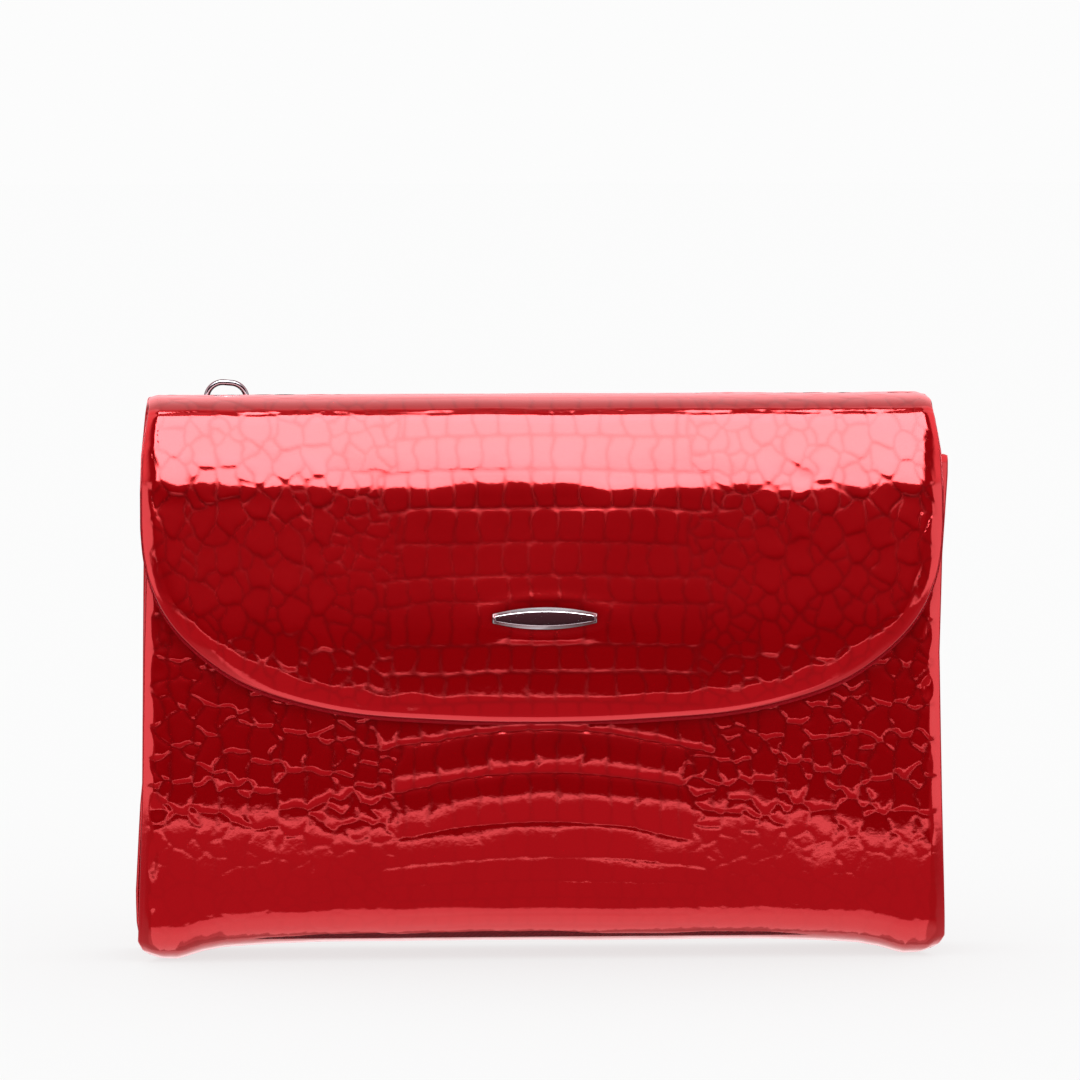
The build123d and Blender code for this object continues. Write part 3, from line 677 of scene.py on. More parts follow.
def skin_object(name, X, S, pos, nrm, H, hide_uv, edges, tone, rub, mat, r_edge=0.6, under=(1.5, 4.0), K=6):
    """X,S: grid (R,C). pos, nrm: (R,C,3). H: displacement. edges: list of (index array into the grid, outward directions)."""
    R, C = X.shape
    P = pos + nrm * H[..., None]
    verts = [P.reshape(-1, 3)]
    uvw = [np.stack([hide_uv[0].ravel(), hide_uv[1].ravel(), np.zeros(R * C)], 1)]
    hid = [np.stack([tone[0].ravel(), tone[1].ravel(), rub.ravel()], 1)]
    faces = [grid_faces(R, C)]
    base = R * C
    for idx, E, r in edges:
        Pe, Ne = P.reshape(-1, 3)[idx], nrm.reshape(-1, 3)[idx]
        rr = rim_rows(Pe, Ne, E, r, K, under)
        n = len(idx)
        prev = np.array(idx)
        for k, row in enumerate(rr):
            cur = base + np.arange(n)
            base += n
            verts.append(row)
            d = (k + 1) * 0.35
            u = uvw[0][idx].copy()
            u[:, :2] += np.stack([E[:, 0], -E[:, 2]], 1) * d
            uvw.append(u)
            hh = hid[0][idx].copy()
            hh[:, 0] *= max(0, 1 - k * 0.3)
            hh[:, 2] = np.maximum(hh[:, 2], 0.55 if k < 4 else 0.2)
            hid.append(hh)
            faces.append(np.stack([prev[:-1], prev[1:], cur[1:], cur[:-1]], 1))
            prev = cur
    ob = make_object(name, np.vstack(verts), np.vstack(faces), {"uvw": np.vstack(uvw), "hide": np.vstack(hid)}, mat)
    fix_normals(ob)
    return ob


def sheet_normals(P):
    """Smooth normals of a grid of points, pointing along du x dv."""
    du = np.gradient(P, axis=1)
    dv = np.gradient(P, axis=0)
    n = np.cross(du, dv)
    return n / np.maximum(1e-9, np.linalg.norm(n, axis=-1, keepdims=True))


# ---- the flap's outline, developed flat as (x, s) ---------------------------------------------------------------
edge_x = np.array([p[0] for p in FLAP_EDGE], float)
edge_z = np.array([p[1] for p in FLAP_EDGE], float)
t_e = np.r_[0, np.cumsum(np.hypot(np.diff(edge_x), np.diff(edge_z)))]
tq = np.linspace(0, t_e[-1], 900)
ex, ez = cubic(t_e, edge_x, tq), cubic(t_e, edge_z, tq)
es = FLAP.s_at_z(ez)
S_TOP = float(es[-1])                     # where the curved edge meets the straight side


def flap_half(s):
    z_at = np.interp(s, FLAP.s, FLAP.z)
    k = np.interp(s, [0, float(FLAP.s_at_z(154.0)), float(FLAP.s_at_z(149.0)), float(FLAP.s_at_z(141.0)), float(FLAP.s_at_z(131.0)), S_TOP],
                  [107.6, 107.7, 108.4, 109.6, 110.0, 110.0])
    return k + 0 * z_at


out_x = np.r_[-flap_half(np.linspace(0, S_TOP, 160)), -ex[::-1][1:], ex[1:], flap_half(np.linspace(S_TOP, 0, 160))[1:]]
out_s = np.r_[np.linspace(0, S_TOP, 160), es[::-1][1:], es[1:], np.linspace(S_TOP, 0, 160)[1:]]


def dist_outline(x, s):
    """Distance in the developed sheet to the flap's free edge."""
    shape = x.shape
    x, s = x.ravel(), s.ravel()
    d = np.full(x.shape, 1e9)
    step = 3
    ox, os_ = out_x[::step], out_s[::step]
    for k in range(0, len(ox) - 1):
        ax, ay, bx, by = ox[k], os_[k], ox[k + 1], os_[k + 1]
        m = (np.abs(x - ax) < 16) & (np.abs(s - ay) < 16)
        if not m.any():
            continue
        vx, vy = bx - ax, by - ay
        L = vx * vx + vy * vy + 1e-12
        t = np.clip(((x[m] - ax) * vx + (s[m] - ay) * vy) / L, 0, 1)
        d[m] = np.minimum(d[m], np.hypot(x[m] - ax - t * vx, s[m] - ay - t * vy))
    return np.minimum(d, 16).reshape(shape)


def flap_grid(rows, cols, inset=0.0, s0=0.0, inset_s=None):
    """Columns are spaced evenly along the curved edge."""
    nx, ns = np.gradient(es), -np.gradient(ex)       # outward normal of the right-hand edge, before scaling
    q = np.hypot(nx, ns)
    nx, ns = -nx / q, -ns / q
    bx, bs = ex - inset * np.abs(nx) * np.sign(ex + 1e-9), es - (inset if inset_s is None else inset_s) * np.abs(ns)
    L = np.r_[0, np.cumsum(np.hypot(np.diff(bx), np.diff(bs)))]
    k = (cols - 1) // 2
    tt = np.linspace(0, L[-1], k + 1)
    cx, cs = np.interp(tt, L, bx), np.interp(tt, L, bs)
    cx, cs = np.r_[-cx[::-1], cx[1:]], np.r_[cs[::-1], cs[1:]]
    t = np.linspace(0, 1, rows)[:, None]
    S = s0 + t * (cs[None, :] - s0)
    wide = (flap_half(S) - inset) / (flap_half(np.full(1, S_TOP))[0] - inset)
    X = cx[None, :] * np.where(S < cs[None, :], wide, 1.0)
    return X, S


def lift_flap(X, S, depth=0.0):
    y, z, ny, nz = FLAP.at(S)
    P = np.stack([X, y - depth * ny, z - depth * nz], -1)
    N = np.stack([0 * X, ny, nz], -1)
    return P, N


# ---- flap skin --------------------------------------------------------------------------------------------------
Q = 1.0
flap_rows_z = [152.2, 145.5, 136.1, 125.7, 116.3, 107.3, 100.1, 88.3, 80.6, 72.6]
rows_s = [1.0, 5.0, 9.6] + [float(FLAP.s_at_z(z)) for z in flap_rows_z] + [FLAP.L + 3]
HIDE_FLAP = Hide(114, FLAP.L + 2, 11, rows_s, lambda v: 1.2 + 0 * v, 43.0, groove=0.042, dome=0.014, row_dome=0.012, tilt=0.0013)
X, S = flap_grid(int(184 * (1)), int(486 * (1)) | 1)
D0 = dist_outline(X, S)
keep = smooth(0.8, 2.2, D0) * smooth(0.4, 1.5, S)
X2, S2 = HIDE_FLAP.snap(X, S, 0.57, keep)
D = dist_outline(X2, S2)
S_CREASE = float(FLAP.s_at_z(151.6))


def flap_form(X, S, D):
    """Displacement of the outer skin from the section curve, without the embossing: rolled rim, creases, slow waviness."""
    n = 16.0 - D
    wob = 0.40 * waves(X, S, 15, 75) * smooth(1.0, 4.0, D)
    side_ = smooth(62, 96, np.abs(X))
    soft = 0.22 * np.logaddexp(0, np.clip((5.7 + wob - D) / 0.22, -30, 30))
    roll = -(0.092 * soft + 0.26 * np.clip((0.9 - D) / 0.9, 0, 1) ** 2) * (1 - side_)
    roll += -1.35 * np.clip((6.6 + wob - D) / 6.6, 0, 1) ** 2.0 * smooth(16, 34, S) * side_
    roll += -0.55 * np.clip((3.0 - D) / 3.0, 0, 1) ** 2 * (1 - smooth(16, 34, S))
    wav = 0.07 * waves(X, S, 60, 71) + 0.012 * waves(X, S, 22, 72)
    wav *= smooth(0, 8, S) * smooth(0, 3, D)
    crease = S_CREASE + 0.22 * waves(X, X * 0, 30, 73) + 1.2 * smooth(60, 108, np.abs(X)) * 0 + 0.9 * smooth(70, 108, -X) * 0
    c = -0.10 * np.exp(-((S - crease) / 0.42) ** 2)
    c *= 0.55 + 0.45 * smooth(-0.6, 0.5, waves(X, X * 0, 12, 74))
    s_b = float(FLAP.s_at_z(131.0))
    lean = -0.15 * smooth(-50, -92, X) + 0.05 * np.exp(-(X / 40.0) ** 2) + 0.075 * waves(X, X * 0, 34, 76) + 0.03 * waves(X, S * 0.5, 12, 77)
    c = c + lean * np.tanh((S - s_b) / 3.2) * np.exp(-((S - s_b) / 17.0) ** 2)
    # small swelling around the ornament, pressed in under it
    s_o = float(FLAP.s_at_z(95.4))
    q = np.hypot((X - 0.6) / 17.5, (S - s_o) / 5.6)
    orn = 0.12 * np.exp(-((q - 0.98) / 0.30) ** 2) - 0.12 * np.exp(-(q / 0.72) ** 4)
    return roll + wav + c + orn


amp = smooth(0.2, 2.4, D) * (0.55 + 0.45 * smooth(1.5, 7.0, D)) * (1 + 0.9 * np.exp(-((S2 - float(FLAP.s_at_z(127.5))) / 5.0) ** 2))
H = HIDE_FLAP.height(X2, S2) * amp + flap_form(X2, S2, D) - 0.05
P0, N0 = lift_flap(X2, S2)
R, C = X.shape


def flap_edges(X, S, r_side, r_rim):
    """Edge index list of the flap sheet (left side, rim, right side), with outward directions."""
    R, C = X.shape
    left = np.arange(R) * C
    bottom = (R - 1) * C + np.arange(C)
    right = (np.arange(R) * C + C - 1)[::-1]
    idx = np.r_[left, bottom[1:], right[1:]]
    x, s = X.ravel()[idx], S.ravel()[idx]
    tx, ts = np.gradient(x), np.gradient(s)
    q = np.hypot(tx, ts)
    ox, os_ = -ts / q, tx / q                # outward in (x, s)
    y, z, ny, nz = FLAP.at(s)
    ty, tz = -nz, ny                          # direction of growing s in (y, z)
    E = np.stack([ox, os_ * ty, os_ * tz], 1)
    return idx, E


idx, E = flap_edges(X, S, 0.55, 0.55)
rub = np.exp(-(D / 1.2) ** 2) * 0.5
tone = HIDE_FLAP.tone(X2, S2)
flap_skin = skin_object("flap_skin", X2, S2, P0, N0, H, (X2, S2), [(idx, E, 0.55)], (tone[0] * amp, tone[1]), rub, M_HIDE, under=(1.5, 4.5))

# ---- back skin: from the middle of the base up the back and over to the middle of the top --------------------------
back_rows = list(np.cumsum([1.2, 4.0, 4.6, 6.8, 8.6, 9.2, 9.8, 10.2, 10.6, 11, 11.2, 11.4, 11.2, 11, 10.6, 10.2, 9.6, 9, 8.6, 8, 7, 6]))
HIDE_BACK = Hide(114, BACK.L + 2, 23, back_rows, lambda v: 2.4 * np.sin(v / 60.0), 43.0, groove=0.09, dome=0.04, row_dome=0.06, tilt=0.004)
BACK_Z_HALF = ([0.0, 1.0, 4.0, 12.0, 40.0, 80.0, 120.0, 140.0, 149.0, 155.8], [106.0, 108.0, 109.8, 110.2, 111.0, 110.6, 110.2, 109.6, 108.4, 107.6])


def back_half(s):
    z = np.interp(s, BACK.s, BACK.z)
    w = np.interp(z, *BACK_Z_HALF)
    return np.where(s > BACK.L - 8, np.minimum(w, 106.4), w)


nr, nc = (int(318 * (1)), int(310 * (1)) | 1)
s_lin = np.linspace(0, BACK.L, nr)
xi = np.linspace(-1, 1, nc)
xi = np.sign(xi) * (1 - (1 - np.abs(xi)) ** 1.06)
S = np.repeat(s_lin[:, None], nc, 1)
X = xi[None, :] * back_half(S)
edge_d = (1 - np.abs(xi))[None, :] * back_half(S)
keep = smooth(0.8, 2.0, edge_d) * smooth(0.4, 1.5, S) * smooth(0.4, 1.5, BACK.L - S)
X2, S2 = HIDE_BACK.snap(X, S, 0.66, keep)
y, z, ny, nz = BACK.at(S2)
X2 = X2 + np.where(X2 < 0, -1.0, 0.0) * np.interp(z, [0, 3, 7, 16, 32, 46, 118, 140, 150], [0.0, 0.9, 1.3, 1.1, -0.2, -1.4, -1.4, -0.3, 0.0]) * smooth(60, 108, np.abs(X2)) * smooth(BACK.L - 6, BACK.L - 14, S2)
lift = arch(X2) * smooth(30, 2, z)
P0 = np.stack([X2, y, z + lift], -1)
N0 = np.stack([0 * X2, ny, nz], -1)
s_bc = float(BACK.s_at_z(150.2))
form = 0.15 * waves(X2, S2, 58, 81) * smooth(0, 8, S2) + 0.05 * waves(X2, S2, 23, 82) * smooth(0, 8, S2)
form += -0.8 * np.clip((2.8 - edge_d) / 2.8, 0, 1) ** 2
form += -0.35 * np.exp(-((S2 - s_bc - 0.3 * waves(X2, X2 * 0, 33, 83)) / 0.6) ** 2)
amp = smooth(0.2, 2.0, edge_d)
H = HIDE_BACK.height(X2, S2) * amp + form * smooth(0.0, 2.5, edge_d + 1.5) - 0.05
H *= smooth(-1, 1.2, BACK.L - S2)
left = (np.arange(nr) * nc)
right = (np.arange(nr) * nc + nc - 1)
El = np.tile([-1.0, 0, 0], (nr, 1))
Er = np.tile([1.0, 0, 0], (nr, 1))
tone = HIDE_BACK.tone(X2, S2)
rub = np.exp(-(edge_d / 1.2) ** 2) * 0.5
back_skin = skin_object("back_skin", X2, S2, P0, N0, H, (X2, S2), [(left, El, 0.62), (right[::-1], Er, 0.62)], (tone[0] * amp, tone[1]), rub, M_HIDE, under=(1.2, 2.6))

# ---- front skin: from the mouth down, round the base edge, to the seam in the middle of the base --------------------
rz = [137.0, 128.5, 119.0, 108.5, 98.0, 87.0, 76.0, 64.2, 52.4, 38.8, 29.2, 21.4, 15.2, 9.4, 5.4]
rows_f = [float(FRONT.s_at_z(v)) for v in rz] + [float(FRONT.s_at_z(1.2)), FRONT.L - 9, FRONT.L - 3, FRONT.L + 4]
s_70, s_20, s_8 = (float(FRONT.s_at_z(v)) for v in (70, 20, 8))
HIDE_FRONT = Hide(116, FRONT.L + 2, 37, rows_f, lambda v: 5.6 * smooth(FRONT.s_at_z(139) , s_70, v) * (1 - smooth(s_20 - 22, s_8, v)) + 0.4, 43.0,
                  groove=0.13, dome=0.055, row_dome=0.17, tilt=0.006)
FZ = ([0.0, 0.35, 2.2, 5.0, 12.0, 30.0, 45.0, 60.0, 85.0, 112.0, 134.0, 139.0], [106.4, 108.2, 110.0, 111.2, 111.0, 110.4, 110.0, 109.7, 109.3, 110.2, 111.9, 112.0])


def front_half(s):
    z = np.interp(s, FRONT.s, FRONT.z)
    return np.interp(z, *FZ)


def left_trim(X, s):
    """The left edge is set in a little at the top, behind the flap."""
    z = np.interp(s, FRONT.s, FRONT.z)
    return np.where(X < 0, 1 - np.interp(z, [85, 112, 134], [0.0, 0.016, 0.032]), 1.0)


nr = int(300 * (1))
nc = int(322 * (1)) | 1
# rows are closest together where the panel shows below the flap
w_s = np.linspace(0, FRONT.L, 3000)
dens = 0.62 + 0.75 * smooth(float(FRONT.s_at_z(92)), float(FRONT.s_at_z(80)), w_s) - 0.35 * smooth(FRONT.L - 12, FRONT.L - 8, w_s)
cum = np.r_[0, np.cumsum((dens[1:] + dens[:-1]) / 2 * np.diff(w_s))]
s_lin = np.interp(np.linspace(0, cum[-1], nr), cum, w_s)
xi = np.linspace(-1, 1, nc)
xi = np.sign(xi) * (1 - (1 - np.abs(xi)) ** 1.06)
S = np.repeat(s_lin[:, None], nc, 1)
X = xi[None, :] * front_half(S)
X = X * left_trim(X, S)
edge_d = np.minimum((1 - np.abs(xi))[None, :] * front_half(S), S + 0.0)
keep = smooth(0.8, 2.0, edge_d) * smooth(0.4, 1.5, FRONT.L - S)
X2, S2 = HIDE_FRONT.snap(X, S, 0.6, keep)
y, z, ny, nz = FRONT.at(S2)
lift = arch(X2) * smooth(30, 2, z)
P0 = np.stack([X2, y, z + lift], -1)
N0 = np.stack([0 * X2, ny, nz], -1)
side_d = (1 - np.abs(xi))[None, :] * front_half(S)
form = 0.09 * waves(X2, S2, 56, 91) + 0.025 * waves(X2, S2, 20, 92)
form += -1.15 * np.clip((5.3 + 0.85 * waves(S2, X2 * 0.4, 12, 93) * smooth(1.0, 3.5, side_d) - side_d) / 5.4, 0, 1) ** 2.2
form += -0.5 * np.clip((2.0 - S2) / 2.0, 0, 1) ** 2
amp = smooth(0.2, 2.2, edge_d) * (0.20 + 0.80 * smooth(31, 52, z))
H = HIDE_FRONT.height(X2, S2) * amp + form - 0.05
H *= smooth(-1, 1.2, FRONT.L - S2) * 1.0
left = np.arange(nr) * nc
right = np.arange(nr) * nc + nc - 1
top = np.arange(nc)
idx = np.r_[left[::-1], top[1:], right[1:]]
x, s = X.ravel()[idx], S.ravel()[idx]
tx, ts = np.gradient(x), np.gradient(s)
q = np.hypot(tx, ts)
ox, os_ = ts / q, -tx / q
yy, zz, ny_, nz_ = FRONT.at(s)
E = np.stack([ox, os_ * (-nz_), os_ * ny_], 1)
tone = HIDE_FRONT.tone(X2, S2)
rub = np.exp(-(edge_d / 1.2) ** 2) * 0.5
front_skin = skin_object("front_skin", X2, S2, P0, N0, H, (X2, S2), [(idx, E, 0.72)], (tone[0] * amp, tone[1]), rub, M_HIDE, under=(1.5, 3.6))

for o in (flap_skin, back_skin, front_skin):
    print(o.name, len(o.data.polygons))
#==PART2==
# ------------------------------------------------------------------------------------------------------------------
# sheets, stitches and small hard shapes
# ------------------------------------------------------------------------------------------------------------------


def sheet(name, P, uv, th, mats, out, mask=None, hide=None, bevel=0.12, seg=2):
    """A sheet of thickness th behind the grid of points P. out: a rough direction its visible face looks to (3 numbers)."""
    R, C = P.shape[:2]
    F = grid_faces(R, C)
    if mask is not None:
        F = F[mask.reshape(-1)]
    V = P.reshape(-1, 3)
    a, b, c = V[F[:, 0]], V[F[:, 1]], V[F[:, 2]]
    n = np.cross(b - a, c - a).sum(0)
    if np.dot(n, out) < 0:
        F = F[:, ::-1]
    used = np.zeros(len(V), bool)
    used[F.ravel()] = True
    remap = np.cumsum(used) - 1
    F = remap[F]
    uvw = np.c_[uv[0].ravel(), uv[1].ravel(), np.zeros(R * C)][used]
    attrs = {"uvw": uvw}
    if hide is not None:
        attrs["hide"] = np.stack([h.ravel() for h in hide], 1)[used]
    else:
        attrs["hide"] = np.zeros((int(used.sum()), 3))
    ob = make_object(name, V[used], F, attrs, mats[0])
    for m_ in mats[1:]:
        ob.data.materials.append(m_)
    s = ob.modifiers.new("thick", "SOLIDIFY")
    s.thickness, s.offset, s.use_even_offset = th * MM, -1, True
    if len(mats) > 1:
        s.material_offset = 1
        s.material_offset_rim = 0
    if bevel:
        w = ob.modifiers.new("round", "BEVEL")
        w.width, w.segments, w.limit_method, w.angle_limit = bevel * MM, seg, "ANGLE", math.radians(50)
        w.harden_normals = False
    bake(ob)
    ob.data.polygons.foreach_set("use_smooth", np.ones(len(ob.data.polygons), bool))
    return ob


def capsule(rings=7, seg=7):
    t = np.linspace(-1, 1, rings)
    V, F = [], []
    for k, x in enumerate(t):
        rr = math.sqrt(max(0.0, 1 - abs(x) ** 3.2)) if 0 < k < rings - 1 else 0.25
        for j in range(seg):
            a = 2 * math.pi * j / seg
            V.append((x, rr * math.cos(a), rr * math.sin(a)))
    for k in range(rings - 1):
        for j in range(seg):
            F.append((k * seg + j, k * seg + (j + 1) % seg, (k + 1) * seg + (j + 1) % seg, (k + 1) * seg + j))
    F.append(tuple(range(seg))[::-1])
    F.append(tuple((rings - 1) * seg + j for j in range(seg)))
    return np.array(V), F


CAPS_V, CAPS_F = capsule()


def stitches(name, path, nrm, step=3.0, length=2.3, r=0.23, sink=0.05, closed=False, skip=None):
    """A row of separate thread stitches along path (n,3), lying on a surface with normals nrm (n,3)."""
    P = np.asarray(path, float)
    N = np.asarray(nrm, float)
    if closed:
        P, N = np.vstack([P, P[:1]]), np.vstack([N, N[:1]])
    L = np.r_[0, np.cumsum(np.linalg.norm(np.diff(P, axis=0), axis=1))]
    n = max(1, int(L[-1] / step))
    V, F, U = [], [], []
    g = np.random.default_rng(int(L[-1] * 7) % 9973)
    for i in range(n):
        m_ = (i + 0.5) * L[-1] / n
        if skip is not None and skip(m_):
            continue
        q = lambda A, s_: np.array([np.interp(s_, L, A[:, k]) for k in range(3)])
        a, b, c = q(P, m_ - length / 2), q(P, m_), q(P, m_ + length / 2)
        nn = q(N, m_)
        nn /= np.linalg.norm(nn)
        t = c - a
        t /= np.linalg.norm(t)
        t = t + 0.06 * g.normal() * np.cross(nn, t)
        w = np.cross(nn, t)
        w /= np.linalg.norm(w)
        x = CAPS_V[:, 0]
        sag = -(np.abs(x) ** 3) * r * 1.5
        pts = b + np.outer(x * length / 2, t) + np.outer(CAPS_V[:, 1] * r * 1.15, w) + np.outer(CAPS_V[:, 2] * r + sag + r * 0.35 - sink, nn)
        base = len(V) * len(CAPS_V)
        V.append(pts)
        U.append(np.c_[x * length / 2 + CAPS_V[:, 1] * 0.5 + i * 3.7, CAPS_V[:, 2] * 0.5, 0 * x])
        F += [tuple(base + k for k in f) for f in CAPS_F]
    if not V:
        return None
    V = np.vstack(V)
    return make_object(name, V, F, {"uvw": np.vstack(U), "hide": np.zeros((len(V), 3))}, M_THREAD)


class Frame:
    def __init__(self, o, x, y, z):
        self.o, self.A = np.array(o, float), np.array([x, y, z], float)

    def __call__(self, P):
        return self.o + np.asarray(P, float) @ self.A


def tilted(y, z, deg, x=0.0):
    """Frame at (x, y, z) with local Z out of a face looking to -Y, turned up by -deg; local Y up."""
    t = math.radians(90 + deg)
    return Frame((x, y, z), (1, 0, 0), (0, math.cos(t), math.sin(t)), (0, -math.sin(t), math.cos(t)))


class Shape:
    """Collects vertices and faces of one hard piece."""

    def __init__(self):
        self.V, self.F, self.n = [], [], 0

    def add(self, V, F, frame=None):
        V = np.asarray(V, float)
        if frame is not None:
            V = frame(V)
        self.V.append(V)
        self.F += [tuple(int(k) + self.n for k in f) for f in F]
        self.n += len(V)
        return self

    def make(self, name, mat, frame=None, sharp=None):
        V = np.vstack(self.V)
        if frame is not None:
            V = frame(V)
        ob = make_object(name, V, self.F, {"uvw": V, "hide": np.zeros((len(V), 3))}, mat)
        fix_normals(ob)
        if sharp:
            bm = bmesh.new()
            bm.from_mesh(ob.data)
            for e in bm.edges:
                if len(e.link_faces) == 2 and e.calc_face_angle(0) > math.radians(sharp):
                    e.smooth = False
            bm.to_mesh(ob.data)
            bm.free()
        return ob


def lathe(profile, seg=64):
    """Closed turned shape; profile: (r, z) pairs, closed on itself. r=0 points become one vertex each."""
    V, idx = [], []
    for r, z in profile:
        if r <= 1e-6:
            idx.append([len(V)] * seg)
            V.append((0, 0, z))
        else:
            idx.append([len(V) + j for j in range(seg)])
            V += [(r * math.cos(2 * math.pi * j / seg), r * math.sin(2 * math.pi * j / seg), z) for j in range(seg)]
    F = []
    m_ = len(profile)
    for k in range(m_):
        a, b = idx[k], idx[(k + 1) % m_]
        if a[0] == a[1] and b[0] == b[1]:
            continue
        for j in range(seg):
            q = [a[j], a[(j + 1) % seg], b[(j + 1) % seg], b[j]]
            f = []
            for v in q:
                if v not in f:
                    f.append(v)
            if len(f) > 2:
                F.append(tuple(f))
    return np.array(V, float), F


def round_corners(pts, r, k=4):
    """Rounds the corners of a polyline loop of (a, b) points."""
    out = []
    n = len(pts)
    for i in range(n):
        p0, p1, p2 = np.array(pts[i - 1]), np.array(pts[i]), np.array(pts[(i + 1) % n])
        rr = r[i] if isinstance(r, (list, tuple)) else r
        u, v = p0 - p1, p2 - p1
        lu, lv = np.linalg.norm(u), np.linalg.norm(v)
        if rr <= 0 or lu < 1e-9 or lv < 1e-9:
            out.append(tuple(p1))
            continue
        d = min(rr, lu * 0.49, lv * 0.49)
        a, b = p1 + u / lu * d, p1 + v / lv * d
        for j in range(k + 1):
            t = j / k
            out.append(tuple((1 - t) ** 2 * a + 2 * t * (1 - t) * p1 + t * t * b))
    return out


def rings(levels, close_top=True, close_bottom=True):
    """Stack of equal-length loops (n,3)."""
    n = len(levels[0])
    V = np.vstack(levels)
    F = []
    for k in range(len(levels) - 1):
        for j in range(n):
            F.append((k * n + j, k * n + (j + 1) % n, (k + 1) * n + (j + 1) % n, (k + 1) * n + j))
    if close_bottom:
        F.append(tuple(range(n))[::-1])
    if close_top:
        F.append(tuple((len(levels) - 1) * n + j for j in range(n)))
    return V, F


def rbox(sx, sy, sz, r=0.15, seg=2, at=(0, 0, 0)):
    bm = bmesh.new()
    bmesh.ops.create_cube(bm, size=1.0)
    for v in bm.verts:
        v.co = Vector((v.co.x * sx, v.co.y * sy, v.co.z * sz))
    if r:
        bmesh.ops.bevel(bm, geom=list(bm.edges), offset=r, segments=seg, affect="EDGES", profile=0.5)
    bm.verts.index_update()
    V = np.array([v.co[:] for v in bm.verts]) + np.array(at)
    F = [tuple(v.index for v in f.verts) for f in bm.faces]
    bm.free()
    return V, F


def plate(loops, half, bevel, res=2):
    """Flat plate from closed outlines in XY (holes by the even-odd rule), bevelled, as (V, F)."""
    cu = bpy.data.curves.new("tmp", "CURVE")
    cu.dimensions = "2D"
    cu.fill_mode = "BOTH"
    for lp in loops:
        sp_ = cu.splines.new("POLY")
        sp_.points.add(len(lp) - 1)
        for p, q in zip(sp_.points, lp):
            p.co = (q[0], q[1], 0, 1)
        sp_.use_cyclic_u = True
    cu.extrude = half - bevel
    cu.bevel_depth = bevel
    cu.bevel_resolution = res
    cu.offset = -bevel
    ob = bpy.data.objects.new("tmp", cu)
    scene.collection.objects.link(ob)
    me = bpy.data.meshes.new_from_object(ob.evaluated_get(bpy.context.evaluated_depsgraph_get()))
    bm = bmesh.new()
    bm.from_mesh(me)
    bmesh.ops.remove_doubles(bm, verts=bm.verts, dist=1e-4)
    bm.verts.index_update()
    V = np.array([v.co[:] for v in bm.verts])
    F = [tuple(v.index for v in f.verts) for f in bm.faces]
    bm.free()
    bpy.data.objects.remove(ob)
    bpy.data.curves.remove(cu)
    bpy.data.meshes.remove(me)
    return V, F


def tube(path, r, seg=10, cap=True):
    """Round tube along path (n,3)."""
    P = np.asarray(path, float)
    T = np.gradient(P, axis=0)
    T /= np.linalg.norm(T, axis=1, keepdims=True)
    ref = np.array([0, 1.0, 0]) if abs(T[0][1]) < 0.9 else np.array([1.0, 0, 0])
    levels = []
    for p, t in zip(P, T):
        a = np.cross(t, ref)
        a /= np.linalg.norm(a)
        b = np.cross(t, a)
        ang = np.linspace(0, 2 * math.pi, seg, endpoint=False)
        levels.append(p + r * (np.outer(np.cos(ang), a) + np.outer(np.sin(ang), b)))
    return rings(levels, cap, cap)


def panel(prof, X, S, d):
    y, z, ny, nz = prof.at(S)
    return np.stack([X, y - d * ny, z - d * nz], -1), np.stack([0 * X, ny, nz], -1)


def lin(a, b, n):
    return np.linspace(a, b, max(2, int(n)))


K = 1.0
PIECES = []

# ---- gussets: a soft inward pleat on each side ---------------------------------------------------------------------
HIDE_G = Hide(40, 150, 51, [2.0, 148.0], lambda v: 0 * v, -20.0, groove=0.07, dome=0.035, row_dome=0.0, oval=(6.2, 9.0), tilt=0.004)
gussets = {}
for name, side in (("gusset_left", -1), ("gusset_right", 1)):
    zz, tt = lin(1.9, 136.5, 190 * K), lin(0, 1, 72 * K)
    Z, T = np.meshgrid(zz, tt, indexing="ij")
    yf, yb = FRONT.y_at_z(Z) + 1.7, np.interp(Z, BACK.z[::-1][:2200], BACK.y[::-1][:2200])
    yb = np.array(np.interp(Z, [0.7, 3.2, 8, 18, 40, 65, 95, 120, 136, 142], [13.2, 15.9, 17.2, 17.75, 17.9, 17.8, 17.4, 16.8, 16.1, 15.9])) - 1.7
    fold = 1 - np.abs(2 * T - 1) ** 1.25
    fold = np.sqrt(fold * fold + 0.0016) - 0.04
    deep = 1.6 + 11.4 * smooth(-4, 46, Z)
    sag = 0.16 * waves(Z, T * 30, 58, 301 + side) * smooth(0, 0.12, T) * smooth(1, 0.88, T)
    x = 108.6 - deep * fold + sag + 0.5 * smooth(112, 136, Z) * (1 - fold)
    y = yf + (yb - yf) * (T + 0.02 * np.sin(Z / 19.0 + side) * fold)
    u = (T - 0.5) * 44.0
    h = HIDE_G.height(u, Z) * smooth(0, 0.05, T) * smooth(1, 0.95, T) * smooth(136.5, 134.8, Z)
    x = x + h + (-0.35 * np.clip((Z - 135.4) / 1.1, 0, 1) ** 2)
    P = np.stack([side * x, y, Z], -1)
    tn = HIDE_G.tone(u, Z)
    g_ob = sheet(name + "_skin", P, (u, Z), 0.85, (M_HIDE, M_LINING), (side * 1.0, 0, 0), hide=(tn[0], tn[1], smooth(134.5, 136.4, Z) * 0.5), bevel=0.25)
    gussets[name] = g_ob

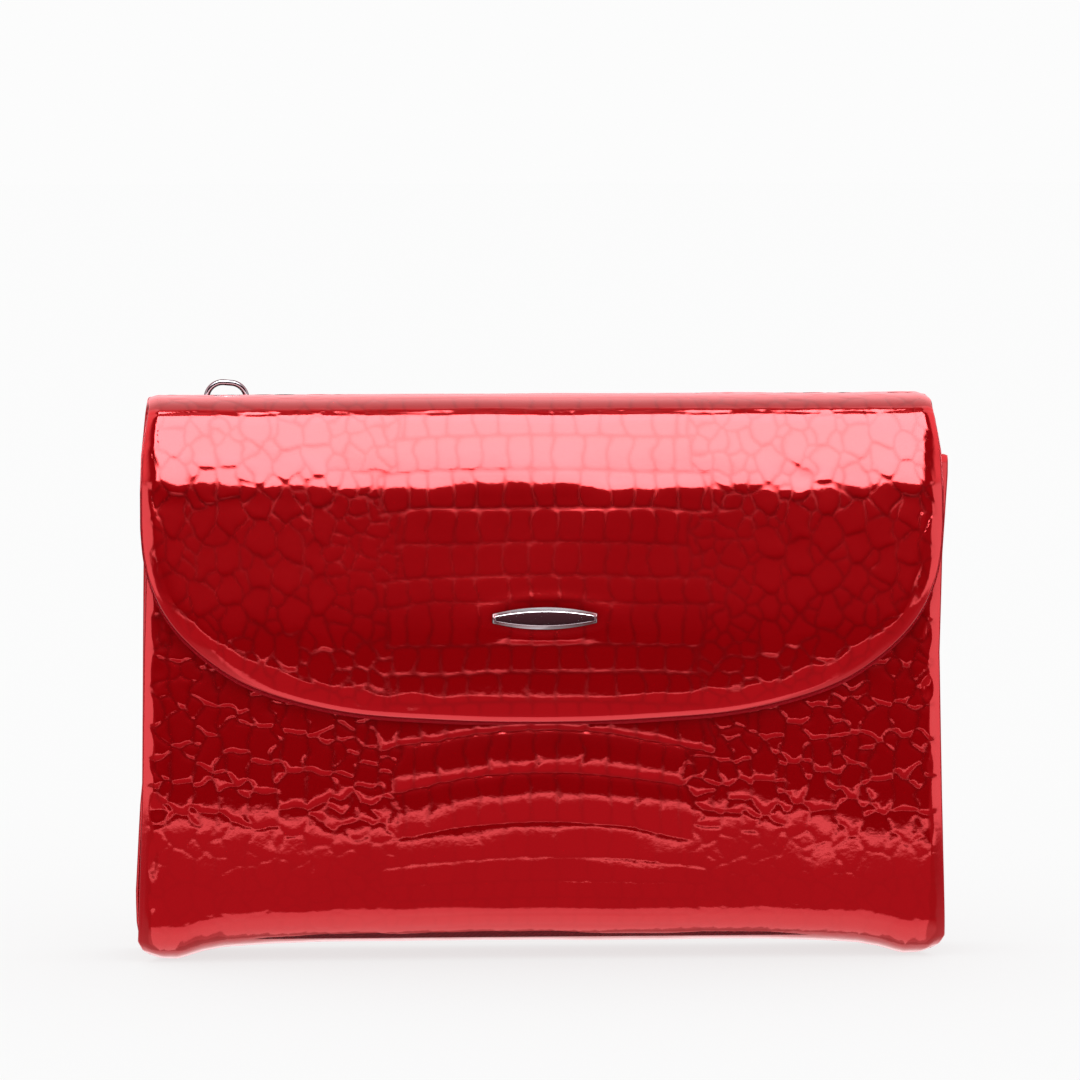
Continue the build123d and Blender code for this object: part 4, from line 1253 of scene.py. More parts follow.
# ---- flap facing: turned leather edge behind the outer skin, then the lining panel, stitched down ---------------------
def edge_dist(x, s, ox, os_):
    shape = x.shape
    x, s = x.ravel(), s.ravel()
    d = np.full(x.shape, 40.0)
    for k in range(0, len(ox) - 1):
        ax, ay, bx, by = ox[k], os_[k], ox[k + 1], os_[k + 1]
        m_ = (np.abs(x - ax) < 24) & (np.abs(s - ay) < 24)
        if m_.any():
            vx, vy = bx - ax, by - ay
            t = np.clip(((x[m_] - ax) * vx + (s[m_] - ay) * vy) / (vx * vx + vy * vy + 1e-12), 0, 1)
            d[m_] = np.minimum(d[m_], np.hypot(x[m_] - ax - t * vx, s[m_] - ay - t * vy))
    return d.reshape(shape)


def flap_inner_depth(S, D):
    z_ = np.interp(S, FLAP.s, FLAP.z)
    return 1.9 + 1.35 * smooth(9.5, 17.0, S) - 0.10 * smooth(3.0, 0.0, D) + 0.82 * smooth(96, 74, z_) * smooth(1.0, 5.0, D)


Xf, Sf = flap_grid(int(120 * K), int(300 * K) | 1, inset=-0.9, inset_s=-1.75)
ring_x = np.r_[Xf[:, 0], Xf[-1, 1:-1], Xf[::-1, -1]]
ring_s = np.r_[Sf[:, 0], Sf[-1, 1:-1], Sf[::-1, -1]]
Df = edge_dist(Xf, Sf, ring_x[::2], ring_s[::2])
P, N = lift_flap(Xf, Sf, flap_inner_depth(Sf, Df) + 0.03 * waves(Xf, Sf, 30, 401))
facing = sheet("flap_facing", P, (Xf, Sf), 0.62, (M_FACE,), (0, 1.0, -0.4), bevel=0.28, seg=3)


def inset_line(inset, n=700, s_from=0.0):
    """Points (x, s) on a line parallel to the facing's edge, from the left end to the right."""
    Xi, Si = flap_grid(60, 401, inset=inset)
    px_ = np.r_[Xi[:, 0], Xi[-1, 1:-1], Xi[::-1, -1]]
    ps_ = np.r_[Si[:, 0], Si[-1, 1:-1], Si[::-1, -1]]
    m_ = ps_ >= s_from
    return px_[m_], ps_[m_]


def on_facing(x, s, lift=0.0, D_=10.0):
    y, z, ny, nz = FLAP.at(s)
    d = flap_inner_depth(s, np.full(x.shape, D_)) + lift
    return np.stack([x, y - d * ny, z - d * nz], -1), np.stack([0 * x, -ny, -nz], -1)


px_, ps_ = inset_line(1.5, s_from=2.0)
Ps, Ns = on_facing(px_, ps_)
st_rim = stitches("st_rim", Ps, Ns, 3.1, 2.35, 0.22)
# the cloth panel on the facing
Xl, Sl = flap_grid(int(110 * K), int(260 * K) | 1, inset=11.0, s0=17.5)
keep_top = 17.5
ring_x = np.r_[Xl[0, :], Xl[:, -1], Xl[-1, ::-1], Xl[::-1, 0]]
ring_s = np.r_[Sl[0, :], Sl[:, -1], Sl[-1, ::-1], Sl[::-1, 0]]
Dl = edge_dist(Xl, Sl, ring_x[::2], ring_s[::2])
s_stud = float(FLAP.s_at_z(95.5))
flat_stud = smooth(6.8, 9.5, np.hypot(Xl, Sl - s_stud))
puff = 0.18 * smooth(0.2, 3.0, Dl) + 0.05 * waves(Xl, Sl, 26, 402) * smooth(2, 8, Dl) + 0.10 * np.abs(np.sin(np.arctan2(Sl - 60, Xl) * 40)) * np.exp(-((Dl - 2.2) / 1.3) ** 2)
puff = puff * flat_stud - 0.22 * np.exp(-((Dl - 1.6) / 0.7) ** 2)
Pl, Nl = lift_flap(Xl, Sl, flap_inner_depth(Sl, 11.0 + Dl) + 0.16 + puff)
lining_f = sheet("flap_lining_cloth", Pl, (Xl, Sl), 0.34, (M_LINING,), (0, 1.0, -0.2), bevel=0.10)
ring_i = edge_dist(Xl, Sl, ring_x[::2], ring_s[::2])
cx_ = np.r_[np.interp(np.linspace(0, 1, 120), np.linspace(0, 1, Xl.shape[1]), Xl[0, :]), Xl[:, -1], Xl[-1, ::-1], Xl[::-1, 0]]
cs_ = np.r_[np.full(120, Sl[0, 0]), Sl[:, -1], Sl[-1, ::-1], Sl[::-1, 0]]
ctr = np.array([0.0, 60.0])
vec = np.stack([ctr[0] - cx_, ctr[1] - cs_], 1)
ll = np.linalg.norm(vec, axis=1, keepdims=True)
sx_, ss_ = cx_ + vec[:, 0] / ll[:, 0] * 1.9, cs_ + vec[:, 1] / ll[:, 0] * 1.9
Ps, Ns = on_facing(sx_, ss_, 0.13)
st_panel = stitches("st_panel", Ps, Ns, 2.9, 2.2, 0.2, closed=True)
facing = join("flap_facing", [o for o in (facing, st_rim, lining_f, st_panel) if o])

# facing under the spine and down behind the back lining
sz_end = float(BACK.s_at_z(132.0))
Sb, Xb = np.meshgrid(lin(0, sz_end, 60 * K), lin(-1, 1, 150 * K), indexing="ij")
half_b = np.interp(Sb, [0, 14, sz_end], [107.0, 106.6, 106.0])
Xb = Xb * half_b
P, N = panel(BACK, Xb, Sb, 1.9 + 1.0 * smooth(14.0, 19.0, Sb) + 0.03 * waves(Xb, Sb, 24, 403))
spine_in = sheet("spine_facing", P, (Xb, Sb), 0.6, (M_FACE,), (0, -0.4, -1.0), bevel=0.25, seg=3)

# ---- front lining with three card pockets ----------------------------------------------------------------------------
def wall_sheet(name, prof, half, z0, z1, d, th, mat, out, rows, cols, wav=0.0, seed=1, inset_fun=None, extra=None, mask=None, bevel=0.1, xs=None, zs=None, seg=2):
    """A sheet lying on a wall at depth d of its visible face, between heights z0 and z1."""
    zz = zs if zs is not None else lin(z1, z0, rows)
    ss = prof.s_at_z(zz)
    xi_ = xs if xs is not None else lin(-1, 1, cols)
    S_, XI = np.meshgrid(ss, xi_, indexing="ij")
    hw = half(S_) if callable(half) else half + 0 * S_
    X_ = XI * hw if xs is None else XI
    Z_ = np.interp(S_, prof.s, prof.z)
    ex_d = np.minimum(np.abs(hw - np.abs(X_)), np.minimum(np.abs(S_ - ss.min()), np.abs(ss.max() - S_)))
    dd = d + 0 * S_
    if wav:
        dd = dd + wav * waves(X_, S_, 28, seed) * smooth(0.5, 6, ex_d)
    if extra is not None:
        dd = dd + extra(X_, Z_, ex_d)
    P_, N_ = panel(prof, X_, S_, dd)
    return sheet(name, P_, (X_, S_), th, (mat,), out, mask=None if mask is None else mask(X_, Z_), bevel=bevel, seg=seg)


def wall_path(prof, pts, d):
    """(x, z) points onto a wall at depth d, with inward normals."""
    x = np.array([p[0] for p in pts], float)
    s = prof.s_at_z(np.array([p[1] for p in pts], float))
    y, z, ny, nz = prof.at(s)
    return np.stack([x, y - d * ny, z - d * nz], -1), np.stack([0 * x, -ny, -nz], -1)


def poly_path(corners, step=1.0, closed=False):
    c = list(corners) + ([corners[0]] if closed else [])
    out = []
    for a, b in zip(c[:-1], c[1:]):
        n = max(2, int(math.hypot(b[0] - a[0], b[1] - a[1]) / step))
        out += [(a[0] + (b[0] - a[0]) * t, a[1] + (b[1] - a[1]) * t) for t in np.linspace(0, 1, n, endpoint=False)]
    out.append(c[-1])
    return out


IN_F, IN_B = (0, 1.0, 0), (0, -1.0, 0)
fl = wall_sheet("front_lining_cloth", FRONT, lambda s: front_half(s) - 5.2, 4.9, 138.6, 2.82, 0.45, M_LINING, IN_F, 120 * K, 150 * K, wav=0.07, seed=411,
                extra=lambda X_, Z_, e: -0.16 * np.exp(-((e - 2.4) / 0.8) ** 2) + 0.10 * smooth(3, 9, e) * (np.abs(X_) > 56) + 0.0 * X_)
corn = [(-103.4, 12), (-103.8, 134.8), (103.8, 134.8), (103.4, 12)]
Ps, Ns = wall_path(FRONT, poly_path(corn), 2.74)
fl_st = stitches("st_front", Ps, Ns, 3.0, 2.3, 0.2)
fl = join("front_lining_cloth", [fl, fl_st])
finish_piece(fl, "front", "front_lining")

for k_, (half_, z1_, d_) in enumerate(((50.0, 82.0, 5.05), (49.4, 97.0, 4.3), (48.8, 112.0, 3.55))):
    nm = "card_pocket_%d" % (k_ + 1)
    ob = wall_sheet(nm + "_cloth", FRONT, half_, 30.0, z1_, d_, 0.5, M_POCKET, IN_F, 70 * K, 90 * K, wav=0.05, seed=420 + k_, bevel=0.16, seg=3,
                    extra=lambda X_, Z_, e, z1_=z1_: 0.10 * smooth(z1_ - 6.2, z1_ - 5.6, Z_) - 0.14 * np.exp(-((Z_ - z1_ + 6.0) / 0.5) ** 2) - 0.05 * np.exp(-((e - 1.6) / 0.7) ** 2))
    Ps, Ns = wall_path(FRONT, poly_path([(-half_ + 1.0, z1_ - 1.8), (half_ - 1.0, z1_ - 1.8)]), d_ + 0.08)
    a_ = stitches("a", Ps, Ns, 2.7, 2.0, 0.17)
    Ps, Ns = wall_path(FRONT, poly_path([(-half_ + 1.6, z1_ - 3.0), (-half_ + 1.6, 31.6), (half_ - 1.6, 31.6), (half_ - 1.6, z1_ - 3.0)]), d_ - 0.02)
    b_ = stitches("b", Ps, Ns, 2.7, 2.0, 0.17)
    ob = join(nm + "_cloth", [ob, a_, b_])
    finish_piece(ob, "front", nm)

# ---- base lining -------------------------------------------------------------------------------------------------------
YY, XX = np.meshgrid(lin(-13.6, 12.4, 34 * K), lin(-99.3, 99.3, 150 * K), indexing="ij")
e_ = np.minimum(99.3 - np.abs(XX), np.minimum(YY + 13.6, 12.4 - YY))
ZZ = 2.95 + arch(XX) + 0.10 * waves(XX, YY, 24, 431) * smooth(0.5, 4, e_) - 0.2 * np.exp(-((e_ - 2.0) / 0.7) ** 2) + 0.12 * smooth(2, 6, e_)
bl = sheet("base_lining_cloth", np.stack([XX, YY, ZZ], -1), (XX, YY), 0.5, (M_LINING,), (0, 0, 1.0), bevel=0.12)
q = poly_path([(-97.4, -11.6), (97.4, -11.6), (97.4, 10.4), (-97.4, 10.4)], closed=True)
qp = np.array([(a, b, 2.92 + float(arch(a))) for a, b in q])
st = stitches("st_base", qp, np.tile([0, 0, 1.0], (len(qp), 1)), 3.2, 2.4, 0.2)
bl = join("base_lining_cloth", [bl, st])
finish_piece(bl, "body", "base_lining")

# ---- back lining with the zip's window ------------------------------------------------------------------------------------
W_X, W_LO, W_HI = 69.5, 113.0, 123.0
bh = lambda s: back_half(s) - 8.2
zs_ = np.r_[lin(147.4, W_HI, 34 * K), lin(W_HI, W_LO, 14 * K)[1:], lin(W_LO, 3.9, 110 * K)[1:]]
ss_b = BACK.s_at_z(zs_)
cols_c, cols_o = lin(-W_X, W_X, 120 * K), int(34 * K)
rows_P, rows_X = [], []
XI = []
for s_, z_ in zip(ss_b, zs_):
    hw = float(back_half(np.array([s_]))[0]) - 6.7
    XI.append(np.r_[lin(-hw, -W_X, cols_o)[:-1], cols_c, lin(W_X, hw, cols_o)[1:]])
Xg = np.array(XI)
Sg = np.repeat(ss_b[:, None], Xg.shape[1], 1)
Zg = np.repeat(zs_[:, None], Xg.shape[1], 1)
e_out = np.minimum(np.abs(np.abs(Xg[:, :1]) - np.abs(Xg)), np.minimum(147.4 - Zg, Zg - 3.9))
dx_, dz_ = np.maximum(np.abs(Xg) - W_X, 0), np.maximum(np.maximum(W_LO - Zg, Zg - W_HI), 0)
e_win = np.hypot(dx_, dz_)
depth = 4.80 + 0.08 * waves(Xg, Sg, 30, 441) * smooth(0.5, 6, e_out) * smooth(0.5, 6, e_win) - 0.16 * np.exp(-((e_out - 2.4) / 0.8) ** 2) \
    - 0.14 * np.exp(-((e_win - 2.2) / 0.6) ** 2) + 0.14 * np.exp(-((e_win - 0.7) / 0.7) ** 2)
cz, cx2 = (Zg[:-1, :-1] + Zg[1:, 1:]) / 2, (Xg[:-1, :-1] + Xg[1:, 1:]) / 2
mask = ~((np.abs(cx2) < W_X) & (cz > W_LO) & (cz < W_HI))
P, N = panel(BACK, Xg, Sg, depth)
bk = sheet("back_lining_cloth", P, (Xg, Sg), 0.45, (M_LINING,), IN_B, mask=mask, bevel=0.14, seg=3)
Ps, Ns = wall_path(BACK, poly_path([(-W_X - 2.2, W_LO - 2.2), (W_X + 2.2, W_LO - 2.2), (W_X + 2.2, W_HI + 2.2), (-W_X - 2.2, W_HI + 2.2)], closed=True), 4.72)
a_ = stitches("a", Ps, Ns, 2.8, 2.1, 0.19, closed=True)
Ps, Ns = wall_path(BACK, poly_path([(-100.2, 14), (-99.6, 100), (-98.6, 144.6), (98.6, 144.6), (99.6, 100), (100.2, 14)]), 4.72)
b_ = stitches("b", Ps, Ns, 3.0, 2.3, 0.2)
bk = join("back_lining_cloth", [bk, a_, b_])
finish_piece(bk, "body", "back_lining")

# ---- pocket bag behind the zip -------------------------------------------------------------------------------------------
pr = wall_sheet("pocket_rear", BACK, 77.6, 32.2, 127.3, 2.62, 0.28, M_POCKET, IN_B, 60 * K, 80 * K, wav=0.0, bevel=0.08)
pf = wall_sheet("pocket_front", BACK, 77.6, 32.2, 111.6, 3.66, 0.28, M_POCKET, IN_B, 70 * K, 100 * K, wav=0.02, seed=451, bevel=0.08,
                extra=lambda X_, Z_, e: -0.72 * (1 - smooth(0.0, 3.2, np.minimum(77.6 - np.abs(X_), Z_ - 32.2))))
Ps, Ns = wall_path(BACK, poly_path([(-75.8, 110.8), (-75.8, 34.0), (75.8, 34.0), (75.8, 110.8)]), 3.40)
a_ = stitches("a", Ps, Ns, 3.0, 2.2, 0.15)
pb = join("pocket_bag_cloth", [pr, pf, a_])
finish_piece(pb, "body", "pocket_bag")

# ---- zip: tapes, teeth, stops, slider, puller --------------------------------------------------------------------------------
LEAN = math.radians(1.808)
WALL = Frame((0, 16.83, 118.0), (1, 0, 0), (0, -math.sin(LEAN), math.cos(LEAN)), (0, -math.cos(LEAN), -math.sin(LEAN)))
for nm, sg in (("zip_tape_upper", 1), ("zip_tape_lower", -1)):
    U_, V_ = np.meshgrid(lin(1.0, 9.4, 20 * K), lin(-73, 73, 190 * K), indexing="ij")
    cord = 0.16 * np.exp(-((U_ - 1.35) / 0.42) ** 2)
    rib = 0.03 * np.cos(U_ * 2.6)
    q = WALL(np.stack([V_.ravel(), sg * U_.ravel(), (4.17 + cord + rib + 0.02 * waves(V_, U_, 14, 461)).ravel()], 1)).reshape(U_.shape + (3,))
    ob = sheet(nm + "_cloth", q, (V_, U_), 0.34, (M_TAPE,), IN_B, bevel=0.08)
    finish_piece(ob, "body", nm)


def tooth():
    s = Shape()
    body_ = round_corners([(-0.62, 0.42), (0.62, 0.42), (0.56, 1.55), (-0.56, 1.55)], 0.22, 3)
    head = round_corners([(-0.50, -0.42), (0.50, -0.42), (0.50, 0.62), (-0.50, 0.62)], 0.28, 3)
    for lp, zc, hz in ((body_, 0.0, 0.65), (head, 0.0, 0.56)):
        c = np.mean(lp, 0)
        lv = []
        for z_, k2 in ((-hz, 0.78), (-hz + 0.14, 0.97), (-hz + 0.3, 1.0), (hz - 0.3, 1.0), (hz - 0.14, 0.97), (hz, 0.78)):
            lv.append(np.array([(c[0] + (a - c[0]) * k2, c[1] + (b - c[1]) * k2, z_ + zc) for a, b in lp]))
        V_, F_ = rings(lv)
        s.add(V_, F_)
    return np.vstack(s.V), s.F


TV, TF = tooth()
n_t = 60
for nm, sg in (("zip_teeth_upper", 1), ("zip_teeth_lower", -1)):
    sh = Shape()
    for i in range(n_t):
        x_ = -66.0 + (i + (0.75 if sg > 0 else 0.25)) * 2.2
        V_ = TV.copy()
        V_[:, 1] *= sg
        V_[:, 0] += x_
        V_[:, 2] += 4.0
        sh.add(V_, TF)
    ob = sh.make(nm + "_shaped", M_ZIP, WALL)
    finish_piece(ob, "body", nm)
sh = Shape()
for sx in (-1, 1):
    lp = round_corners([(-0.65, -1.5), (0.65, -1.5), (0.65, 1.5), (-0.65, 1.5)], 0.35, 3)
    lv = [np.array([(sx * 67.9 + a * k2, b * k2, z_) for a, b in lp]) for z_, k2 in ((3.3, 0.8), (3.45, 1.0), (4.5, 1.0), (4.66, 0.93), (4.72, 0.7))]
    V_, F_ = rings(lv)
    sh.add(V_, F_)
ob = sh.make("zip_end_stops_shaped", M_ZIP, WALL)
finish_piece(ob, "body", "zip_end_stops")

SLX = -57.5
sh = Shape()
outl = round_corners([(-4.5, -2.5), (-1.2, -2.75), (1.6, -3.3), (4.5, -3.3), (4.5, -0.9), (3.7, 0.0), (4.5, 0.9), (4.5, 3.3), (1.6, 3.3), (-1.2, 2.75), (-4.5, 2.5)],
                     [0.9, 0.8, 0.8, 1.0, 0.5, 0.5, 0.5, 1.0, 0.8, 0.8, 0.9], 3)
for zc in (3.0, 5.08):
    V_, F_ = plate([outl], 0.27, 0.12)
    sh.add(V_ + np.array([0, 0, zc]), F_)
V_, F_ = rbox(2.4, 0.34, 2.0, 0.08, 2, (2.9, 0, 4.02))
sh.add(V_, F_)
for sg in (-1, 1):                                  # side flanges of the top plate
    V_, F_ = rbox(6.4, 0.34, 0.42, 0.12, 2, (0.2, sg * 2.72, 4.78))
    sh.add(V_, F_)
    lug = round_corners([(-1.5, 5.2), (1.5, 5.2), (1.05, 7.05), (0.45, 7.62), (-0.45, 7.62), (-1.05, 7.05)], [0.1, 0.1, 0.4, 0.5, 0.5, 0.4], 4)
    V_, F_ = plate([[(a, b) for a, b in lug]], 0.38, 0.12)
    V_ = np.stack([V_[:, 0], V_[:, 2] + sg * 1.75, V_[:, 1]], 1)
    sh.add(V_, F_)
V_, F_ = tube([(0, y_, 6.7) for y_ in np.linspace(-2.2, 2.2, 9)], 0.46, 16)
sh.add(V_, F_)
ob = sh.make("zip_slider_shaped", M_ZIP, Frame(WALL([[SLX, 0, 0]])[0], *WALL.A), sharp=38)
finish_piece(ob, "zip_slider", "zip_slider")
sh = Shape()
rim_ = [(1.9, -1.1), (3.2, -1.55), (6.5, -2.15), (12.4, -2.3), (14.9, -1.5), (15.35, 0.0), (14.9, 1.5), (12.4, 2.3), (6.5, 2.15), (3.2, 1.55), (1.9, 1.1), (0.9, 0.9), (0.9, -0.9)]
rim_ = round_corners(rim_, 1.1, 4)
hole = [(11.6 + 1.5 * math.cos(a), 1.15 * math.sin(a)) for a in np.linspace(0, 2 * math.pi, 28, endpoint=False)]
slotl = round_corners([(4.2, -0.55), (8.6, -0.9), (8.6, 0.9), (4.2, 0.55)], 0.5, 4)
V_, F_ = plate([rim_, hole], 0.52, 0.22, 3)
sh.add(V_, F_)
V_, F_ = plate([slotl], 0.64, 0.14, 2)              # raised panel on the blade
sh.add(V_, F_)
ang = np.linspace(0, 2 * math.pi, 28, endpoint=False)
eye_lv = []
for y_, ro in ((-1.2, 1.0), (-1.05, 1.15), (1.05, 1.15), (1.2, 1.0)):
    eye_lv.append(np.stack([ro * np.cos(ang), np.full(28, y_), ro * np.sin(ang)], 1))
for y_, ro in ((1.2, 0.62), (1.1, 0.57), (-1.1, 0.57), (-1.2, 0.62)):
    eye_lv.append(np.stack([ro * np.cos(ang), np.full(28, y_), ro * np.sin(ang)], 1))
V_, F_ = rings(eye_lv + [eye_lv[0]], False, False)
sh.add(V_, F_)
ob = sh.make("zip_puller_shaped", M_ZIP, Frame(WALL([[SLX, 0, 6.7]])[0], *WALL.A), sharp=45)
finish_piece(ob, "zip_puller", "zip_puller")

# ---- magnetic snap ---------------------------------------------------------------------------------------------------------
FS = tilted(float(FRONT.y_at_z(95.5)), 95.5, -4.087)
prof_cap = [(3.72, 0.55), (3.70, 1.55), (3.82, 1.80), (4.05, 1.92), (5.2, 1.97), (5.35, 1.90), (5.55, 1.90), (5.7, 1.98), (6.3, 2.0), (6.7, 1.88), (6.95, 1.60), (7.02, 1.2), (7.05, 0.7), (6.98, 0.55)]
V_, F_ = lathe(prof_cap, 72)
sh = Shape().add(V_, F_)
ob = sh.make("snap_socket_cap_turned", M_CHROME, FS)
finish_piece(ob, "front", "snap_socket_cap")
FF = tilted(-25.42, 95.5, -3.394)
sz = -3.2
prof_stud = [(0, sz - 0.12), (6.2, sz - 0.12), (6.5, sz - 0.25), (6.62, sz - 0.5), (6.62, sz - 0.8), (6.45, sz - 1.02), (6.1, sz - 1.1), (4.9, sz - 1.12), (4.7, sz - 1.05), (4.4, sz - 1.05), (4.2, sz - 1.12),
             (2.9, sz - 1.13), (2.62, sz - 1.22), (2.5, sz - 1.45), (2.42, sz - 1.9), (2.25, sz - 2.08), (1.9, sz - 2.15), (0.7, sz - 2.15), (0.5, sz - 2.05), (0, sz - 2.02)]
V_, F_ = lathe(prof_stud, 72)
sh = Shape().add(V_, F_)
ob = sh.make("snap_stud_turned", M_CHROME, FF)
finish_piece(ob, "flap", "snap_stud")

# ---- ornament ----------------------------------------------------------------------------------------------------------------
def boat_ring(L, Hh, e, z, n=22):
    """Loop of a boat outline: half length L, half height Hh in the middle, e at the blunt ends."""
    sag = Hh - e
    Rr = (L * L + sag * sag) / (2 * sag)
    th = math.asin(min(1, L / Rr))
    a = np.linspace(-th, th, n)
    xs_, ys_ = Rr * np.sin(a), Rr * np.cos(a) - Rr + Hh
    up = np.stack([xs_, ys_], 1)
    dn = np.stack([xs_[::-1], -ys_[::-1]], 1)
    return np.c_[np.vstack([up, dn]), np.full(2 * n, z)]


FO = tilted(float(FLAP.at(np.array([FLAP.s_at_z(95.5)]))[0][0]), 95.5, -3.394)
lv = [boat_ring(*a) for a in ((14.0, 2.85, 1.05, -0.55), (14.4, 3.1, 1.3, -0.25), (14.4, 3.1, 1.3, 0.90), (14.36, 3.07, 1.27, 1.05), (14.27, 2.97, 1.21, 1.17),
                              (14.15, 2.84, 1.13, 1.30), (13.78, 2.02, 0.68, 2.38), (13.76, 1.99, 0.665, 2.415), (13.72, 1.95, 0.64, 2.435), (13.62, 1.86, 0.59, 2.445),
                              (13.3, 1.65, 0.52, 2.450), (11.5, 1.0, 0.32, 2.455), (8.0, 0.4, 0.12, 2.457))]
V_, F_ = rings(lv)
sh = Shape().add(V_, F_)
ob = sh.make("ornament_bar", M_ORN, FO)
finish_piece(ob, "flap", "ornament")

# ---- ring for the wrist strap, and its tab ------------------------------------------------------------------------------------
tl = math.radians(5)
RING = Frame((-86.6, 19.9, 148.2), (math.cos(tl), 0, -math.sin(tl)), (0, 1, 0), (math.sin(tl), 0, math.cos(tl)))
path = [(-5.575, 0, z_) for z_ in np.linspace(-0.25, 5.35, 8)]
path += [(-1.075 - 4.5 * math.cos(a), 0, 5.35 + 4.5 * math.sin(a)) for a in np.linspace(0, math.pi / 2, 16)[1:]]
path += [(x_, 0, 9.85) for x_ in np.linspace(-1.075, 1.075, 5)[1:]]
path += [(1.075 + 4.5 * math.cos(a), 0, 5.35 + 4.5 * math.sin(a)) for a in np.linspace(math.pi / 2, 0, 16)[1:]]
path += [(5.575, 0, z_) for z_ in np.linspace(5.35, -0.25, 8)[1:]]
path = np.array(path)
T_ = np.gradient(path, axis=0)
T_ /= np.linalg.norm(T_, axis=1, keepdims=True)
lv = []
ang = np.linspace(0, 2 * math.pi, 28, endpoint=False)
ca, sa = np.cos(ang), np.sin(ang)
cu_, cv_ = 0.82 * np.sign(ca) * np.abs(ca) ** 0.62, 1.0 * np.sign(sa) * np.abs(sa) ** 0.62
for p_, t_ in zip(path, T_):
    nrm_ = np.array([-t_[2], 0, t_[0]])
    lv.append(p_ + np.outer(cu_, nrm_) + np.outer(cv_, np.array([0, 1.0, 0])))
V_, F_ = rings(lv)
sh = Shape().add(V_, F_)
V_, F_ = tube([(x_, 0, 0) for x_ in np.linspace(-5.9, 5.9, 12)], 0.8, 20)
sh.add(V_, F_)
ob = sh.make("wrist_ring_bent", M_RING, RING)
finish_piece(ob, "wrist_ring", "wrist_ring")

leg = [(-2.05, -18.3), (-2.05, -13.0), (-2.02, -8.6), (-1.6, -5.6), (-0.55, -3.2), (0.55, -1.75)]
loop_ = [(1.36 * math.cos(a), 1.36 * math.sin(a)) for a in np.radians(np.linspace(-32, 205, 13))]
back_ = [(-1.75, -1.9), (-2.2, -3.8), (-2.75, -6.2), (-2.93, -9.0), (-2.9, -13.0), (-2.88, -18.3)]
pp = np.array(leg + loop_ + back_)
t_p = np.r_[0, np.cumsum(np.hypot(np.diff(pp[:, 0]), np.diff(pp[:, 1])))]
tq_ = lin(0, t_p[-1], 110 * K)
py_, pz_ = cubic(t_p, pp[:, 0], tq_), cubic(t_p, pp[:, 1], tq_)
T2, X3 = np.meshgrid(tq_, lin(-4.15, 4.15, 22), indexing="ij")
edge_round = smooth(4.15, 3.2, np.abs(X3))
ty_, tz_ = np.gradient(py_, tq_), np.gradient(pz_, tq_)
ny2, nz2 = tz_, -ty_
q_ = np.hypot(ny2, nz2)
ny2, nz2 = ny2 / q_, nz2 / q_
sgn_ = 1.0
off = 0.42 - 0.10 * (1 - edge_round)
Pq = np.stack([X3, py_[:, None] + off * ny2[:, None] * sgn_, pz_[:, None] + off * nz2[:, None] * sgn_], -1)
Pq = RING(Pq.reshape(-1, 3)).reshape(Pq.shape)
tab = sheet("ring_tab_strap", Pq, (X3, T2), 0.84, (M_FACE,), (0, 1.0, 0.0), bevel=0.2, seg=3)
q = poly_path([(-3.1, -7.2), (-3.1, -17.0), (3.1, -17.0), (3.1, -7.2)], 0.5, closed=True)
qp = []
for a, b in q:
    yy_ = np.interp(-b, -pz_[: len(pz_) // 2][::1][::-1][::-1], py_[: len(pz_) // 2]) if False else np.interp(b, [-18.3, -13.0, -8.6, -5.6], [-2.05, -2.05, -2.02, -1.6])
    qp.append((a, yy_ + 0.44, b))
qp = RING(np.array(qp))
st = stitches("st_tab", qp, np.tile([0, 1.0, 0.0], (len(qp), 1)), 2.3, 1.75, 0.17, closed=True)
tab = join("ring_tab_strap", [tab, st])
finish_piece(tab, "body", "ring_tab")

# ---- foam between skin and board, with slightly rounded edges --------------------------------------------------------------------
Xm, Sm = flap_grid(int(70 * K), int(160 * K) | 1, inset=3.2, s0=float(FLAP.s_at_z(150.0)))
ring_x = np.r_[Xm[0, :], Xm[:, -1], Xm[-1, ::-1], Xm[::-1, 0]]
ring_s = np.r_[Sm[0, :], Sm[:, -1], Sm[-1, ::-1], Sm[::-1, 0]]
Dm = edge_dist(Xm, Sm, ring_x[::2], ring_s[::2])
P, N = lift_flap(Xm, Sm, 1.98 + 0 * Xm)
foam = sheet("flap_foam_sheet", P, (Xm, Sm), 0.6, (M_FOAM,), (0, 1.0, -0.2), bevel=0.2)
finish_piece(foam, "flap", "flap_foam")

# ---- finishes for the hard pieces carried over from CAD -----------------------------------------------------------------------------
CAD_MATS = {"back_board": M_BOARD, "base_board": M_BOARD, "front_board": M_BOARD, "flap_board": M_BOARD, "snap_magnet": M_MAGNET, "snap_socket_base": M_STEEL,
            "snap_socket_washer": M_STEEL, "snap_stud_washer": M_STEEL, "ornament_clips": M_STEEL}
for o in scene.objects:
    if o.type == "MESH" and o.name in CAD_MATS:
        o.data.materials.clear()
        o.data.materials.append(CAD_MATS[o.name])

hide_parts("flap_lining")
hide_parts("spine_lining")
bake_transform(facing)
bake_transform(spine_in)
for nm, ob in gussets.items():
    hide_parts(nm)
    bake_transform(ob)
#==END2==
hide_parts("flap_leather", "spine_leather")
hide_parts("back_panel", "base_panel")
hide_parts("front_panel")
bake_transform(back_skin)
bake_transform(flap_skin)
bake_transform(front_skin)

# ------------------------------------------------------------------------------------------------------------------
# studio: pale floor, soft surroundings
# ------------------------------------------------------------------------------------------------------------------


